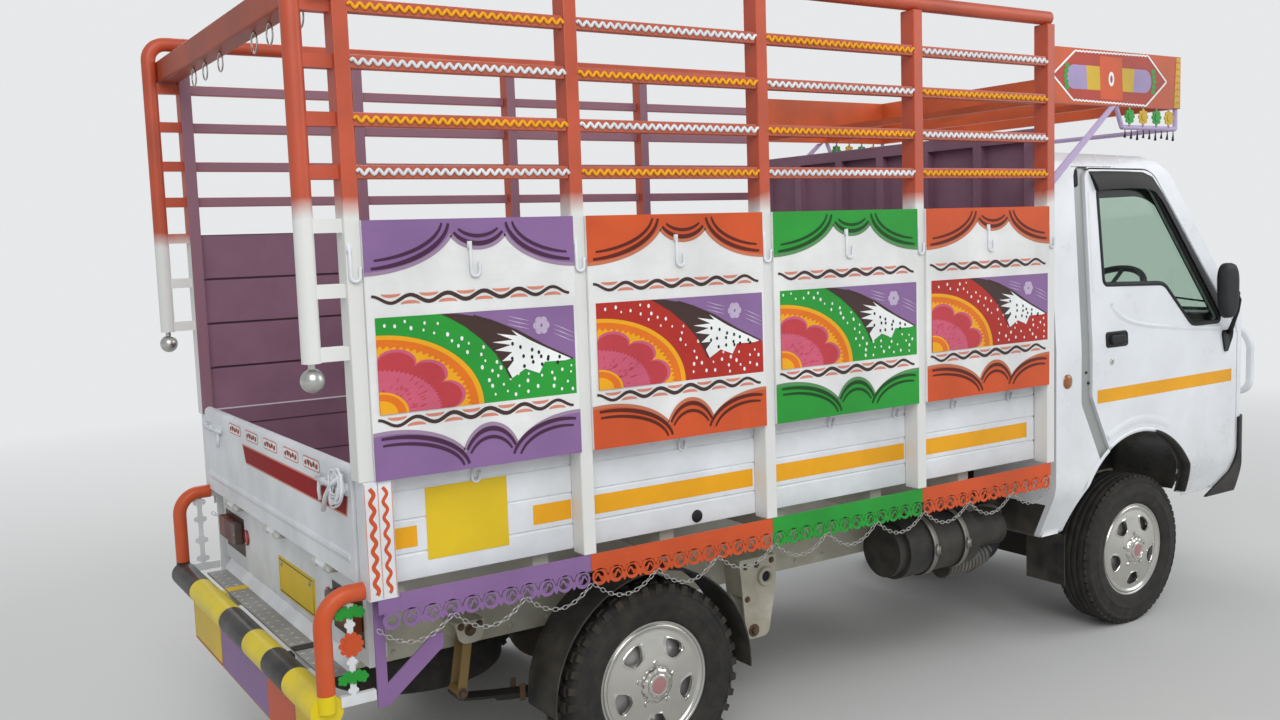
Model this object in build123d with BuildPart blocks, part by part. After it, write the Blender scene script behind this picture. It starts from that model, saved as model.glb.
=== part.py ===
from build123d import *
from functools import cache
from math import asin, cos, degrees, radians, sin, sqrt
import os

# A small cab-over cargo truck with a high painted side cage, in millimetres.
# +X is forward, +Y is left, +Z is up. The origin is on the ground, under the middle of the truck.
# Stations along the truck are measured forward from the rear edge of the load body.

# Reach of the whole truck
GUARD_FRONT = 4140
PIPE_X = -140
PIPE_D = 85

# Wheels
WHEELBASE = 2380
REAR_AXLE_X = 883
FRONT_AXLE_X = REAR_AXLE_X + WHEELBASE
TYRE_D = 620
TYRE_W = 165
RIM_SEAT_D = 362
RIM_FLANGE_D = 382
RIM_W = 138
RIM_WALL = 6
HUB_R = 58
COVER_HOLES = 5
COVER_HOLE_R = 24
COVER_HOLE_CIRCLE_R = 112
COVER_WALL = 4
REAR_TRACK = 1325
FRONT_TRACK = 1296
KINGPIN_Y = 600
RUNNING_GAP = 0.3

# Chassis
RAIL_OUTER_Y = 400
RAIL_W = 55
RAIL_BOTTOM = 445
RAIL_TOP = 563
RAIL_WALL = 5
RAIL_REAR_X = 60
RAIL_FRONT_X = 3940
CROSSMEMBER_X = (90, 392, 700, 1480, 2120, 2600, 3560, 3910)
CROSSMEMBER_W = 60
TOW_EYE_R = 14
TOW_EYE_W = 24
TOW_EYE_X = 25
TOW_EYE_H = 70

# Rear springs, hung under the axle
SPRING_Y = 455
SPRING_W = 60
LEAF_T = 8
LEAF_HALVES = (540, 430, 320, 205)
SPRING_FRONT_PIN = (1455, 291)
SHACKLE_TOP = (394, 518)
SHACKLE_LOW = (362, 327)
SPRING_SAG_Z = 262
AXLE_R = 38
DIFF_R = 118
DRUM_R = 122
DRUM_DEPTH = 70

# Load tray
TRAY_LENGTH = 2600
TRAY_HALF_W = 785
TRAY_WALL = 40
TRAY_FLOOR = 803
TRAY_BOTTOM = 790
TRAY_TOP = 1090
RUNNER_W = 60
BEARER_W = 50
BEARER_BOTTOM = 705
BEARER_PITCH = 430

# Painted side boards and the cage above them
POST_X = (-20, 611, 1263, 1915, 2581)
POST_W = 40
POST_D = 60
BOARD_BOTTOM = 1073
BOARD_TOP = 1718
BOARD_T = 25
BOARD_PROUD = 8
POST_FOOT = 780
TUBE_D = 48
TOP_RAIL_Z = 2385
RAIL_LEVELS = (1835, 1961, 2098, 2230)
RAIL_H = 34
RAIL_T = 25
LADDER_X = -130
LADDER_FOOT = 1377
LADDER_ELBOW_R = 60
RUNG_LEVELS = (1396, 1549, 1707)
RUNG_T = 30
BALL_D = 60
HEADBOARD_T = 38
HEADBOARD_TOP = 2000
BEAM_BOTTOM = 2250
BEAM_TOP = 2325
BEAM_HALF_W = 860
RING_R = 30
RING_WIRE = 5

# Tailgate and the rear end
TAILGATE_HALF_W = 768
TAILGATE_T = 35
TAILGATE_TOP = 1085
TAILGATE_PIN_R = 9
HINGE_Y = (-480, 0, 480)
HINGE_HALF = 40
LUG_W = 16
LUG_R = 13
CORNER_BOARD_L = 75
HOOP_Y = 800
HOOP_D = 46
HOOP_TOP = 790
HOOP_ELBOW_R = 75
PIPE_Z = 500
PIPE_HALF_L = 800
DECK_T = 5
REAR_PANEL_BOTTOM = 560
REAR_PANEL_HALF_W = 730

# Cab
CAB_REAR = 2690
CAB_BOTTOM = 450
CAB_HALF_W = 785
CAB_WALL = 40
DOOR_GAP = 6
ARCH_X = 3210
ARCH_Z = 425
ARCH_R = 385
SEAT_BOX_TOP = 850
FOOTWELL_FLOOR = 620
FOOTWELL_REAR = 3625
FLOOR_T = 30
CAB_LIFT = 6
GLASS_T = 5
GLASS_SINK = 14
DOOR_PIN_X = 3866
DOOR_PIN_Y = 776
DOOR_PIN_R = 4
DOOR_PIN_HALF = 32
DOOR_HINGE_Z = (760, 1090)
HINGE_ARM_HALF = 20
SEAT_Y = 370
SEAT_W = 480
WHEEL_HUB = (3530, -380, 1350)
STEERING_TILT = 35
STEERING_R = 185
STEERING_GRIP_R = 14
BUMPER_TOP = 800

MIDDLE = (GUARD_FRONT + PIPE_X - PIPE_D / 2) / 2
SIDE = Plane.XZ
ACROSS = Plane.YZ
REACH = 1200
PLAN = Plane(origin=(0, 0, 2 * REACH), x_dir=(0, 1, 0), z_dir=(0, 0, -1))

WHEEL_Z = TYRE_D / 2
HALF_RIM = RIM_W / 2
FACE = HALF_RIM - 2
HUB_BACK = FACE - 40
POST_IN = TRAY_HALF_W + RUNNING_GAP
POST_OUT = POST_IN + POST_D
TAILGATE_PIN_X = -TAILGATE_T + 5
TAILGATE_PIN_Z = TRAY_BOTTOM
BOARD_OUT = POST_OUT + BOARD_PROUD
LADDER_Y = (POST_IN + POST_OUT) / 2


def span(x, y, z, mode=Mode.ADD):
    """A box in the part being built, from its low and high limits along each axis."""
    with Locations(((x[0] + x[1]) / 2, (y[0] + y[1]) / 2, (z[0] + z[1]) / 2)):
        Box(x[1] - x[0], y[1] - y[0], z[1] - z[0], mode=mode)


def outline(plane, corners, inset=0):
    """A closed flat shape from rows of (x, y, corner radius) on a plane, cut back all round by an inset."""
    with BuildSketch(plane) as shape:
        with BuildLine():
            FilletPolyline(*[(x, y) for x, y, r in corners], radius=[r for x, y, r in corners], close=True)
        make_face()
        if inset:
            offset(amount=-inset)
    return shape.sketch


def mirrored(rows):
    """Half an outline, given from the bottom up on the right, closed by its mirror image on the left."""
    return [(-y, z, r) for y, z, r in rows] + [(y, z, r) for y, z, r in reversed(rows)]


def spoke(origin, toward, radius):
    """A round bar in the part being built, from one point to another."""
    a = Vector(*origin)
    b = Vector(*toward)
    with BuildSketch(Plane(origin=a, z_dir=b - a)) as section:
        Circle(radius)
    extrude(section.sketch, amount=(b - a).length)


# Ladder chassis: two channel rails with their spring hangers and cab mounts
RAIL_INNER_Y = RAIL_OUTER_Y - RAIL_W
HANGER_OUT = SPRING_Y + SPRING_W / 2 + 8
FRONT_HANGER = (
    (1398, RAIL_BOTTOM + 100, 6),
    (1562, RAIL_BOTTOM + 100, 6),
    (1556, 440, 60),
    (1520, 262, 30),
    (1424, 262, 24),
    (1412, 400, 60),
)
REAR_HANGER = ((345, RAIL_BOTTOM + 100, 6), (445, RAIL_BOTTOM + 100, 6), (430, 478, 30), (360, 478, 30))
CAB_MOUNTS = ((2750, RAIL_TOP + CAB_LIFT), (3650, FOOTWELL_FLOOR - FLOOR_T))
with BuildPart() as chassis_frame:
    with BuildSketch(ACROSS.offset(RAIL_REAR_X)):
        with Locations((RAIL_OUTER_Y - RAIL_W / 2, (RAIL_TOP + RAIL_BOTTOM) / 2)):
            Rectangle(RAIL_W, RAIL_TOP - RAIL_BOTTOM)
        with Locations((RAIL_INNER_Y + (RAIL_W - RAIL_WALL) / 2, (RAIL_TOP + RAIL_BOTTOM) / 2)):
            Rectangle(RAIL_W - RAIL_WALL, RAIL_TOP - RAIL_BOTTOM - 2 * RAIL_WALL, mode=Mode.SUBTRACT)
    extrude(amount=RAIL_FRONT_X - RAIL_REAR_X)
    extrude(outline(SIDE.offset(-HANGER_OUT), FRONT_HANGER), amount=HANGER_OUT - RAIL_OUTER_Y)
    extrude(outline(SIDE.offset(-HANGER_OUT), REAR_HANGER), amount=HANGER_OUT - RAIL_OUTER_Y)
    slot_y = (SPRING_Y - SPRING_W / 2 - RUNNING_GAP, SPRING_Y + SPRING_W / 2 + RUNNING_GAP)
    span((1390, 1570), slot_y, (250, RAIL_BOTTOM - 30), mode=Mode.SUBTRACT)
    span((340, 450), slot_y, (470, 532), mode=Mode.SUBTRACT)
    for x, top in CAB_MOUNTS:
        span((x - 30, x + 30), (RAIL_INNER_Y, RAIL_OUTER_Y), (RAIL_TOP - 1, top - RUNNING_GAP))
    mirror(about=Plane.XZ)

# Cross members seated in the channels, with the tow eye on the rearmost
CHANNEL_HALF = RAIL_OUTER_Y - RAIL_WALL
CHANNEL_Z = (RAIL_BOTTOM + RAIL_WALL, RAIL_TOP - RAIL_WALL)
TOW_EYE_Z = (RAIL_BOTTOM + RAIL_TOP) / 2
with BuildPart() as cross_members:
    for x in CROSSMEMBER_X:
        span((x - CROSSMEMBER_W / 2, x + CROSSMEMBER_W / 2), (-CHANNEL_HALF, CHANNEL_HALF), CHANNEL_Z)
    eye_x = (TOW_EYE_X - TOW_EYE_R - 13, CROSSMEMBER_X[0])
    span(eye_x, (-TOW_EYE_W / 2, TOW_EYE_W / 2), (TOW_EYE_Z - TOW_EYE_H / 2, TOW_EYE_Z + TOW_EYE_H / 2))
    with Locations((TOW_EYE_X, 0, TOW_EYE_Z)):
        Cylinder(TOW_EYE_R, TOW_EYE_W + 2, rotation=(90, 0, 0), mode=Mode.SUBTRACT)

# Rear leaf springs: stacked arcs of falling length, eyes at both ends, and shackles at the rear
SPRING_MID_X = (SPRING_FRONT_PIN[0] + SHACKLE_LOW[0]) / 2
SPRING_END_Z = (SPRING_FRONT_PIN[1] + SHACKLE_LOW[1]) / 2
SPRING_RISE = SPRING_END_Z - (SPRING_SAG_Z - LEAF_T / 2)
SPRING_HALF = (SPRING_FRONT_PIN[0] - SHACKLE_LOW[0]) / 2
SPRING_R = (SPRING_HALF**2 + SPRING_RISE**2) / (2 * SPRING_RISE)
EYE_R = 20
LEAF_LAP = 0.5
SHACKLE_R = 14
SHACKLE_T = 7
SHACKLE_LENGTH = sqrt((SHACKLE_TOP[0] - SHACKLE_LOW[0]) ** 2 + (SHACKLE_TOP[1] - SHACKLE_LOW[1]) ** 2)
SHACKLE_LEAN = degrees(asin((SHACKLE_TOP[0] - SHACKLE_LOW[0]) / SHACKLE_LENGTH))
SHACKLE_MID = ((SHACKLE_TOP[0] + SHACKLE_LOW[0]) / 2, (SHACKLE_TOP[1] + SHACKLE_LOW[1]) / 2)
with BuildPart() as rear_springs:
    bow = (SPRING_MID_X, SPRING_SAG_Z + SPRING_R)
    for row, half in enumerate(LEAF_HALVES):
        inner = SPRING_R + LEAF_T * row
        turn = degrees(asin(half / SPRING_R))
        with BuildSketch(SIDE.offset(-SPRING_Y - SPRING_W / 2)):
            with BuildLine():
                low = CenterArc(bow, inner + LEAF_T, 270 - turn, 2 * turn)
                top = CenterArc(bow, inner - LEAF_LAP, 270 - turn, 2 * turn)
                Line(low @ 0, top @ 0)
                Line(low @ 1, top @ 1)
            make_face()
        extrude(amount=SPRING_W)
    for x, z in (SPRING_FRONT_PIN, SHACKLE_LOW):
        with Locations((x, SPRING_Y, z)):
            Cylinder(EYE_R, SPRING_W, rotation=(90, 0, 0))
    for y in (SPRING_Y - SPRING_W / 2 + 1, SPRING_Y + SPRING_W / 2 - SHACKLE_T - 1):
        with BuildSketch(SIDE.offset(-y - SHACKLE_T)):
            with Locations(SHACKLE_MID):
                SlotCenterToCenter(SHACKLE_LENGTH, 2 * SHACKLE_R, rotation=90 - SHACKLE_LEAN)
        extrude(amount=SHACKLE_T)
    with Locations((SHACKLE_TOP[0], SPRING_Y, SHACKLE_TOP[1])):
        Cylinder(9, SPRING_W, rotation=(90, 0, 0))
    mirror(about=Plane.XZ)

# Rear axle: tube, differential bulge, brake drums, spring seats and propeller shaft
AXLE_SEAT_TOP = WHEEL_Z - AXLE_R + 4
SEAT_HALF = 40
SPRING_TOP_Z = SPRING_SAG_Z + LEAF_LAP + SEAT_HALF**2 / (2 * SPRING_R)
DRUM_IN_Y = REAR_TRACK / 2 - 20
GEARBOX_END = (2640, 0, 395)
DIFF_NOSE = (REAR_AXLE_X + DIFF_R + 55, 0, WHEEL_Z + 12)
with BuildPart() as rear_axle:
    with Locations((REAR_AXLE_X, 0, WHEEL_Z)):
        Cylinder(AXLE_R, 2 * (DRUM_IN_Y - DRUM_DEPTH / 2), rotation=(90, 0, 0))
        Sphere(DIFF_R)
    spoke((REAR_AXLE_X, 0, WHEEL_Z), DIFF_NOSE, 48)
    spoke(DIFF_NOSE, GEARBOX_END, 28)
    for side in (-1, 1):
        with Locations((REAR_AXLE_X, side * (DRUM_IN_Y - DRUM_DEPTH / 2), WHEEL_Z)):
            Cylinder(DRUM_R, DRUM_DEPTH, rotation=(90, 0, 0))
        y = side * SPRING_Y
        x = SPRING_MID_X
        span((x - SEAT_HALF, x + SEAT_HALF), (y - 34, y + 34), (SPRING_TOP_Z + RUNNING_GAP, AXLE_SEAT_TOP))
        hub_y = side * (REAR_TRACK / 2 + HUB_BACK - RUNNING_GAP)
        spoke((REAR_AXLE_X, side * DRUM_IN_Y, WHEEL_Z), (REAR_AXLE_X, hub_y, WHEEL_Z), 40)

# Engine and gearbox, one plain closed mass between the rails
with BuildPart() as engine:
    span((2960, 3440), (-215, 215), (350, 790))
    fillet(engine.edges(), 18)
    span((GEARBOX_END[0] + 1.6, 2980), (-105, 105), (300, 440))
    for side in (-1, 1):
        mount_y = sorted((side * 200, side * (RAIL_OUTER_Y - RAIL_WALL - RUNNING_GAP)))
        span((3150, 3230), mount_y, (480, 525))

# Silencer and tail pipe
EXHAUST_Y = 190
EXHAUST_Z = 372
with BuildPart() as exhaust:
    spoke((1750, EXHAUST_Y, EXHAUST_Z), (2290, EXHAUST_Y, EXHAUST_Z), 72)
    spoke((2290, EXHAUST_Y, EXHAUST_Z), (2960 - RUNNING_GAP, EXHAUST_Y, EXHAUST_Z), 20)
    spoke((1750, EXHAUST_Y, EXHAUST_Z), (1610, EXHAUST_Y, EXHAUST_Z), 20)
    spoke((1610, EXHAUST_Y, EXHAUST_Z), (1610, 560, EXHAUST_Z), 21)
    hanger_z = (EXHAUST_Z + 60, RAIL_BOTTOM + RAIL_WALL - RUNNING_GAP)
    span((2110, 2130), (EXHAUST_Y - 10, EXHAUST_Y + 10), hanger_z)

# Fuel tank on the left rail
with BuildPart() as fuel_tank:
    span((1720, 2330), (RAIL_OUTER_Y + 4, RAIL_OUTER_Y + 300), (330, 640))
    fillet(fuel_tank.edges().filter_by(Axis.X), 45)
    for x in (1850, 2200):
        span((x - 20, x + 20), (RAIL_OUTER_Y, RAIL_OUTER_Y + 40), (RAIL_BOTTOM + 20, RAIL_TOP - 20))

# Air cleaner drum on the right rail, with its intake hose turning forward to the cab
CLEANER_R = 108
CLEANER_Y = -590
CLEANER_Z = 500
CLEANER_STEPS = ((1970, 2010, CLEANER_R - 14), (2010, 2370, CLEANER_R), (2360, 2560, CLEANER_R - 38))
CLEANER_STRAPS = (2120, 2280)
STRAP_W = 26
with BuildPart() as air_cleaner:
    for x0, x1, radius in CLEANER_STEPS:
        spoke((x0, CLEANER_Y, CLEANER_Z), (x1, CLEANER_Y, CLEANER_Z), radius)
    for x in CLEANER_STRAPS:
        spoke((x, CLEANER_Y, CLEANER_Z), (x + STRAP_W, CLEANER_Y, CLEANER_Z), CLEANER_R + 6)
        span((x, x + STRAP_W), (-RAIL_OUTER_Y - 120, -RAIL_OUTER_Y), (CLEANER_Z - 20, CLEANER_Z + 20))
    with BuildLine() as hose:
        FilletPolyline(
            (2300, -560, 385),
            (2440, -560, 380),
            (2560, -560, 420),
            (2640, -500, 560),
            radius=60,
        )
    with BuildSketch(Plane(origin=hose.line @ 0, z_dir=hose.line % 0)):
        Circle(50)
    sweep()

# Spare wheel, slung flat under the rear overhang
SPARE = (392, 0, 352)
with BuildPart() as spare_wheel:
    with Locations(SPARE):
        Cylinder(TYRE_D / 2 - 6, TYRE_W - 10)
    fillet(spare_wheel.edges(), 34)
    with Locations((SPARE[0], SPARE[1], SPARE[2] - TYRE_W / 2)):
        Cylinder(RIM_SEAT_D / 2, 90, mode=Mode.SUBTRACT)
    carrier_z = (SPARE[2] + (TYRE_W - 10) / 2 + RUNNING_GAP, RAIL_BOTTOM + RAIL_WALL - RUNNING_GAP)
    spoke((SPARE[0], SPARE[1], carrier_z[0]), (SPARE[0], SPARE[1], carrier_z[1]), 12)

# Front suspension: cross member, lower arms, struts and upper pivots
ARM_Z = 205
BALL_R = 20
PLATE_Y = KINGPIN_Y + BALL_R + 8
STRUT_Y = 508
STRUT_R = 22
STRUT_TOP = ARCH_Z + sqrt(ARCH_R**2 - (FRONT_AXLE_X + STRUT_R - ARCH_X) ** 2) - RUNNING_GAP
UPPER_PIVOT_Z = 408
BEAM_END_Y = 370
with BuildPart() as front_suspension:
    x = FRONT_AXLE_X
    span((x - 60, x + 60), (-BEAM_END_Y, BEAM_END_Y), (ARM_Z - 15, ARM_Z + 65))
    for side in (-1, 1):
        spoke((x, side * 350, ARM_Z), (x, side * KINGPIN_Y, ARM_Z), 14)
        with Locations((x, side * KINGPIN_Y, ARM_Z)):
            Cylinder(BALL_R, 30)
        span((x - 30, x + 30), (side * BEAM_END_Y - 8, side * BEAM_END_Y + 8), (230, RAIL_BOTTOM))
        spoke((x, side * STRUT_Y, UPPER_PIVOT_Z - 10), (x, side * STRUT_Y, STRUT_TOP), STRUT_R)
        spoke((x, side * STRUT_Y, UPPER_PIVOT_Z + 10), (x, side * KINGPIN_Y, UPPER_PIVOT_Z), 12)
        with Locations((x, side * KINGPIN_Y, UPPER_PIVOT_Z)):
            Cylinder(BALL_R, 26)

# Tyres and wheels. Profiles are rows of (radius, distance outward from the middle of the tread).
BEAD_R = RIM_SEAT_D / 2
FLANGE_IN = HALF_RIM - RIM_WALL
TYRE_PROFILE = (
    (BEAD_R + RUNNING_GAP, FLANGE_IN - 3 - RUNNING_GAP),
    (RIM_FLANGE_D / 2 + RUNNING_GAP, FLANGE_IN - RUNNING_GAP),
    (RIM_FLANGE_D / 2 + RUNNING_GAP, HALF_RIM + 3),
    (228, 81),
    (255, TYRE_W / 2),
    (284, 77),
    (302, 66),
    (TYRE_D / 2, 52),
)
GROOVE_Y = (26, 0, -26)
GROOVE_HALF_W = 4
GROOVE_DEPTH = 9


def tyre(station, track_half, side):
    """A tyre as a ring, with three grooves running round its tread."""
    centre = Vector(station, side * track_half, WHEEL_Z)
    tread = []
    for y in GROOVE_Y:
        tread += [
            (TYRE_D / 2, y + GROOVE_HALF_W),
            (TYRE_D / 2 - GROOVE_DEPTH, y + GROOVE_HALF_W),
            (TYRE_D / 2 - GROOVE_DEPTH, y - GROOVE_HALF_W),
            (TYRE_D / 2, y - GROOVE_HALF_W),
        ]
    inside = [(r, -w) for r, w in reversed(TYRE_PROFILE)]
    with BuildPart() as ring:
        with BuildSketch(Plane(origin=centre, x_dir=(1, 0, 0), z_dir=(0, 0, side))):
            with BuildLine():
                Polyline(*TYRE_PROFILE, *tread, *inside, close=True)
            make_face()
        revolve(axis=Axis(centre, (0, 1, 0)))
    return ring


# A wheel's section: barrel, flanges, disc and domed cover, as rows of (radius, distance outward)
BARREL = (
    (RIM_FLANGE_D / 2, -HALF_RIM),
    (RIM_FLANGE_D / 2, -FLANGE_IN),
    (BEAD_R, -FLANGE_IN + 3),
    (BEAD_R, FLANGE_IN - 3),
    (RIM_FLANGE_D / 2, FLANGE_IN),
    (RIM_FLANGE_D / 2, HALF_RIM),
    (BEAD_R - 4, FACE),
    (148, FACE - 16),
    (120, FACE - 14),
    (80, FACE - 3),
    (52, FACE + 6),
    (34, FACE + 6),
    (32, FACE + 13),
    (0, FACE + 15),
    (0, HUB_BACK),
    (HUB_R, HUB_BACK),
    (HUB_R, FACE - 18),
    (120, FACE - 14 - COVER_WALL - 6),
    (148, FACE - 16 - COVER_WALL - 6),
    (BEAD_R - RIM_WALL - 2, FACE - 16),
    (BEAD_R - RIM_WALL, -HALF_RIM),
)


def wheel(station, track_half, side):
    """A rim with its full cover: a dished ring, five rounded holes and a domed middle."""
    centre = Vector(station, side * track_half, WHEEL_Z)
    face = Plane(origin=centre, x_dir=(1, 0, 0), z_dir=(0, side, 0))
    with BuildPart() as disc:
        with BuildSketch(Plane(origin=centre, x_dir=(1, 0, 0), z_dir=(0, 0, side))):
            with BuildLine():
                Polyline(*BARREL, close=True)
            make_face()
        revolve(axis=Axis(centre, (0, 1, 0)))
        with BuildSketch(face.offset(FACE - 38)):
            with PolarLocations(COVER_HOLE_CIRCLE_R, COVER_HOLES, start_angle=90):
                Circle(COVER_HOLE_R)
        extrude(amount=60, mode=Mode.SUBTRACT)
    return disc


# Each wheel: name, station, half track, side (left is +1)
WHEELS = (
    ("rl", REAR_AXLE_X, REAR_TRACK / 2, 1),
    ("rr", REAR_AXLE_X, REAR_TRACK / 2, -1),
    ("fl", FRONT_AXLE_X, FRONT_TRACK / 2, 1),
    ("fr", FRONT_AXLE_X, FRONT_TRACK / 2, -1),
)
tyres = {name: tyre(station, half, side) for name, station, half, side in WHEELS}
wheels = {name: wheel(station, half, side) for name, station, half, side in WHEELS}

# Steering knuckles: kingpin post, brake plate and stub axle
HUB_FACE_Y = FRONT_TRACK / 2 + HUB_BACK
KNUCKLE_TOP = UPPER_PIVOT_Z - 13 - RUNNING_GAP
KNUCKLE_LOW = ARM_Z + 15 + RUNNING_GAP


def knuckle(side):
    """A steering knuckle with its post on the kingpin axis."""
    with BuildPart() as carrier:
        x = FRONT_AXLE_X
        with Locations((x, side * KINGPIN_Y, (KNUCKLE_TOP + KNUCKLE_LOW) / 2)):
            Cylinder(19, KNUCKLE_TOP - KNUCKLE_LOW)
        spoke((x, side * KINGPIN_Y, WHEEL_Z), (x, side * (HUB_FACE_Y - RUNNING_GAP), WHEEL_Z), 26)
        spoke((x, side * PLATE_Y, WHEEL_Z), (x, side * (PLATE_Y + 8), WHEEL_Z), 118)
    return carrier


knuckles = {name: knuckle(side) for name, side in (("left", 1), ("right", -1))}

# Load floor: sheet, cross bearers and the two runners that lie on the chassis rails
HEADBOARD_REAR = TRAY_LENGTH - HEADBOARD_T
LUG_TOP = TRAY_FLOOR - 3
with BuildPart() as load_floor:
    floor_y = (-TRAY_HALF_W + TRAY_WALL, TRAY_HALF_W - TRAY_WALL)
    span((0, HEADBOARD_REAR), floor_y, (TRAY_BOTTOM, TRAY_FLOOR))
    span((HEADBOARD_REAR, TRAY_LENGTH), floor_y, (TRAY_BOTTOM, TRAY_FLOOR - RUNNING_GAP))
    count = int((TRAY_LENGTH - 2 * BEARER_W) / BEARER_PITCH) + 1
    for row in range(count):
        x = BEARER_W + row * BEARER_PITCH
        span((x, x + BEARER_W), floor_y, (BEARER_BOTTOM, TRAY_BOTTOM))
    for side in (-1, 1):
        y = side * (RAIL_OUTER_Y - RAIL_W / 2)
        span((RAIL_REAR_X, TRAY_LENGTH), (y - RUNNER_W / 2, y + RUNNER_W / 2), (RAIL_TOP, BEARER_BOTTOM))
    for y in HINGE_Y:
        for near in (y - HINGE_HALF - RUNNING_GAP - LUG_W, y + HINGE_HALF + RUNNING_GAP):
            span((TAILGATE_PIN_X, 1), (near, near + LUG_W), (TAILGATE_PIN_Z - LUG_R, LUG_TOP))
            ends = [(TAILGATE_PIN_X, end, TAILGATE_PIN_Z) for end in (near, near + LUG_W)]
            spoke(*ends, LUG_R)
        with Locations((TAILGATE_PIN_X, y, TAILGATE_PIN_Z)):
            length = 2 * (HINGE_HALF + LUG_W) + 4
            Cylinder(TAILGATE_PIN_R + RUNNING_GAP, length, rotation=(90, 0, 0), mode=Mode.SUBTRACT)

# Tray sides: pressed steel walls with grooves along their length
GROOVE_Z = (858, 948, 1030)
TRAY_GROOVE = 7
with BuildPart() as tray_sides:
    with BuildSketch(ACROSS):
        with Locations((TRAY_HALF_W - TRAY_WALL / 2, (TRAY_BOTTOM + TRAY_TOP) / 2)):
            Rectangle(TRAY_WALL, TRAY_TOP - TRAY_BOTTOM)
        with Locations(*[(TRAY_HALF_W, z) for z in GROOVE_Z]):
            Rectangle(TRAY_GROOVE, TRAY_GROOVE, rotation=45, mode=Mode.SUBTRACT)
    extrude(amount=HEADBOARD_REAR)
    mirror(about=Plane.XZ)

# Headboard: a framed panel with upright ribs at the front of the load space
HEAD_RIBS = (-520, -250, 0, 250, 520)
HEAD_FRAME_W = 45
HEAD_SHEET_T = 6
with BuildPart() as headboard:
    span((HEADBOARD_REAR, TRAY_LENGTH), (-TRAY_HALF_W, TRAY_HALF_W), (TRAY_FLOOR, HEADBOARD_TOP))
    inner_y = (-TRAY_HALF_W + HEAD_FRAME_W, TRAY_HALF_W - HEAD_FRAME_W)
    inner_z = (TRAY_FLOOR + HEAD_FRAME_W, HEADBOARD_TOP - HEAD_FRAME_W)
    span((HEADBOARD_REAR, TRAY_LENGTH - HEAD_SHEET_T), inner_y, inner_z, mode=Mode.SUBTRACT)
    for y in HEAD_RIBS:
        span((HEADBOARD_REAR, TRAY_LENGTH), (y - 20, y + 20), (TRAY_FLOOR, HEADBOARD_TOP))

# Corner boards at the tray's rear corners
with BuildPart() as corner_boards:
    span((-30, -30 + CORNER_BOARD_L), (POST_IN, POST_OUT), (POST_FOOT - 10, BOARD_BOTTOM))
    mirror(about=Plane.XZ)

# Cage posts between the side boards
with BuildPart() as cage_posts:
    for x in POST_X:
        foot = BOARD_BOTTOM if x == POST_X[0] else POST_FOOT
        top = TOP_RAIL_Z - TUBE_D / 2
        span((x - POST_W / 2, x + POST_W / 2), (POST_IN, POST_OUT), (foot, top))
    mirror(about=Plane.XZ)

# Painted side boards, one in each bay, with a rolled edge all round
BAYS = [(a + POST_W / 2, b - POST_W / 2) for a, b in zip(POST_X, POST_X[1:])]
BOARD_SEAMS = 4
with BuildPart() as side_boards:
    for x0, x1 in BAYS:
        span((x0, x1), (BOARD_OUT - BOARD_T, BOARD_OUT), (BOARD_BOTTOM, BOARD_TOP))
        for row in range(1, BOARD_SEAMS):
            z = BOARD_BOTTOM + row * (BOARD_TOP - BOARD_BOTTOM) / BOARD_SEAMS
            y = BOARD_OUT - BOARD_T
            span((x0 + 20, x1 - 20), (y, y + 5), (z - 4, z + 4), mode=Mode.SUBTRACT)
    mirror(about=Plane.XZ)

# Horizontal rails above the boards
RAIL_OUT = POST_OUT - 4
with BuildPart() as cage_rails:
    for x0, x1 in BAYS:
        for z in RAIL_LEVELS:
            span((x0, x1), (RAIL_OUT - RAIL_T, RAIL_OUT), (z - RAIL_H / 2, z + RAIL_H / 2))
    mirror(about=Plane.XZ)

# Top tubes that bend down at the rear into ladders with rungs
with BuildPart() as ladder_tubes:
    with BuildLine() as run:
        FilletPolyline(
            *[
                (x, LADDER_Y, z)
                for x, z in (
                    (LADDER_X, LADDER_FOOT),
                    (LADDER_X, TOP_RAIL_Z),
                    (POST_X[-1] + POST_W / 2, TOP_RAIL_Z),
                )
            ],
            radius=LADDER_ELBOW_R,
        )
    with BuildSketch(Plane(origin=run.line @ 0, z_dir=run.line % 0)):
        Circle(TUBE_D / 2)
    sweep()
    rung_x = (LADDER_X, POST_X[0] - POST_W / 2)
    for z in RAIL_LEVELS + RUNG_LEVELS:
        span(rung_x, (LADDER_Y - RUNG_T / 2, LADDER_Y + RUNG_T / 2), (z - RAIL_H / 2, z + RAIL_H / 2))
    mirror(about=Plane.XZ)

# Rear beam across the ladders
BEAM_X = (LADDER_X + TUBE_D / 2 + RUNNING_GAP, POST_X[0] - POST_W / 2 - RUNNING_GAP)
with BuildPart() as rear_beam:
    span(BEAM_X, (-BEAM_HALF_W, BEAM_HALF_W), (BEAM_BOTTOM, BEAM_TOP))
    fillet(rear_beam.edges().filter_by(Axis.Y), 6)

# Steel rings under the beam and steel balls at the ladders' feet
RING_Y = (-710, -450, -302, 69, 260, 410)
with BuildPart() as cage_ornaments:
    for y in RING_Y:
        with Locations((sum(BEAM_X) / 2, y, BEAM_BOTTOM - RING_R - RUNNING_GAP)):
            Torus(RING_R - RING_WIRE / 2, RING_WIRE / 2, rotation=(0, 90, 0))
    for side in (-1, 1):
        y = side * LADDER_Y
        with Locations((LADDER_X, y, LADDER_FOOT - 12 - BALL_D / 2)):
            Sphere(BALL_D / 2)
        spoke((LADDER_X, y, LADDER_FOOT - RUNNING_GAP), (LADDER_X, y, LADDER_FOOT - 30), 9)

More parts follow.
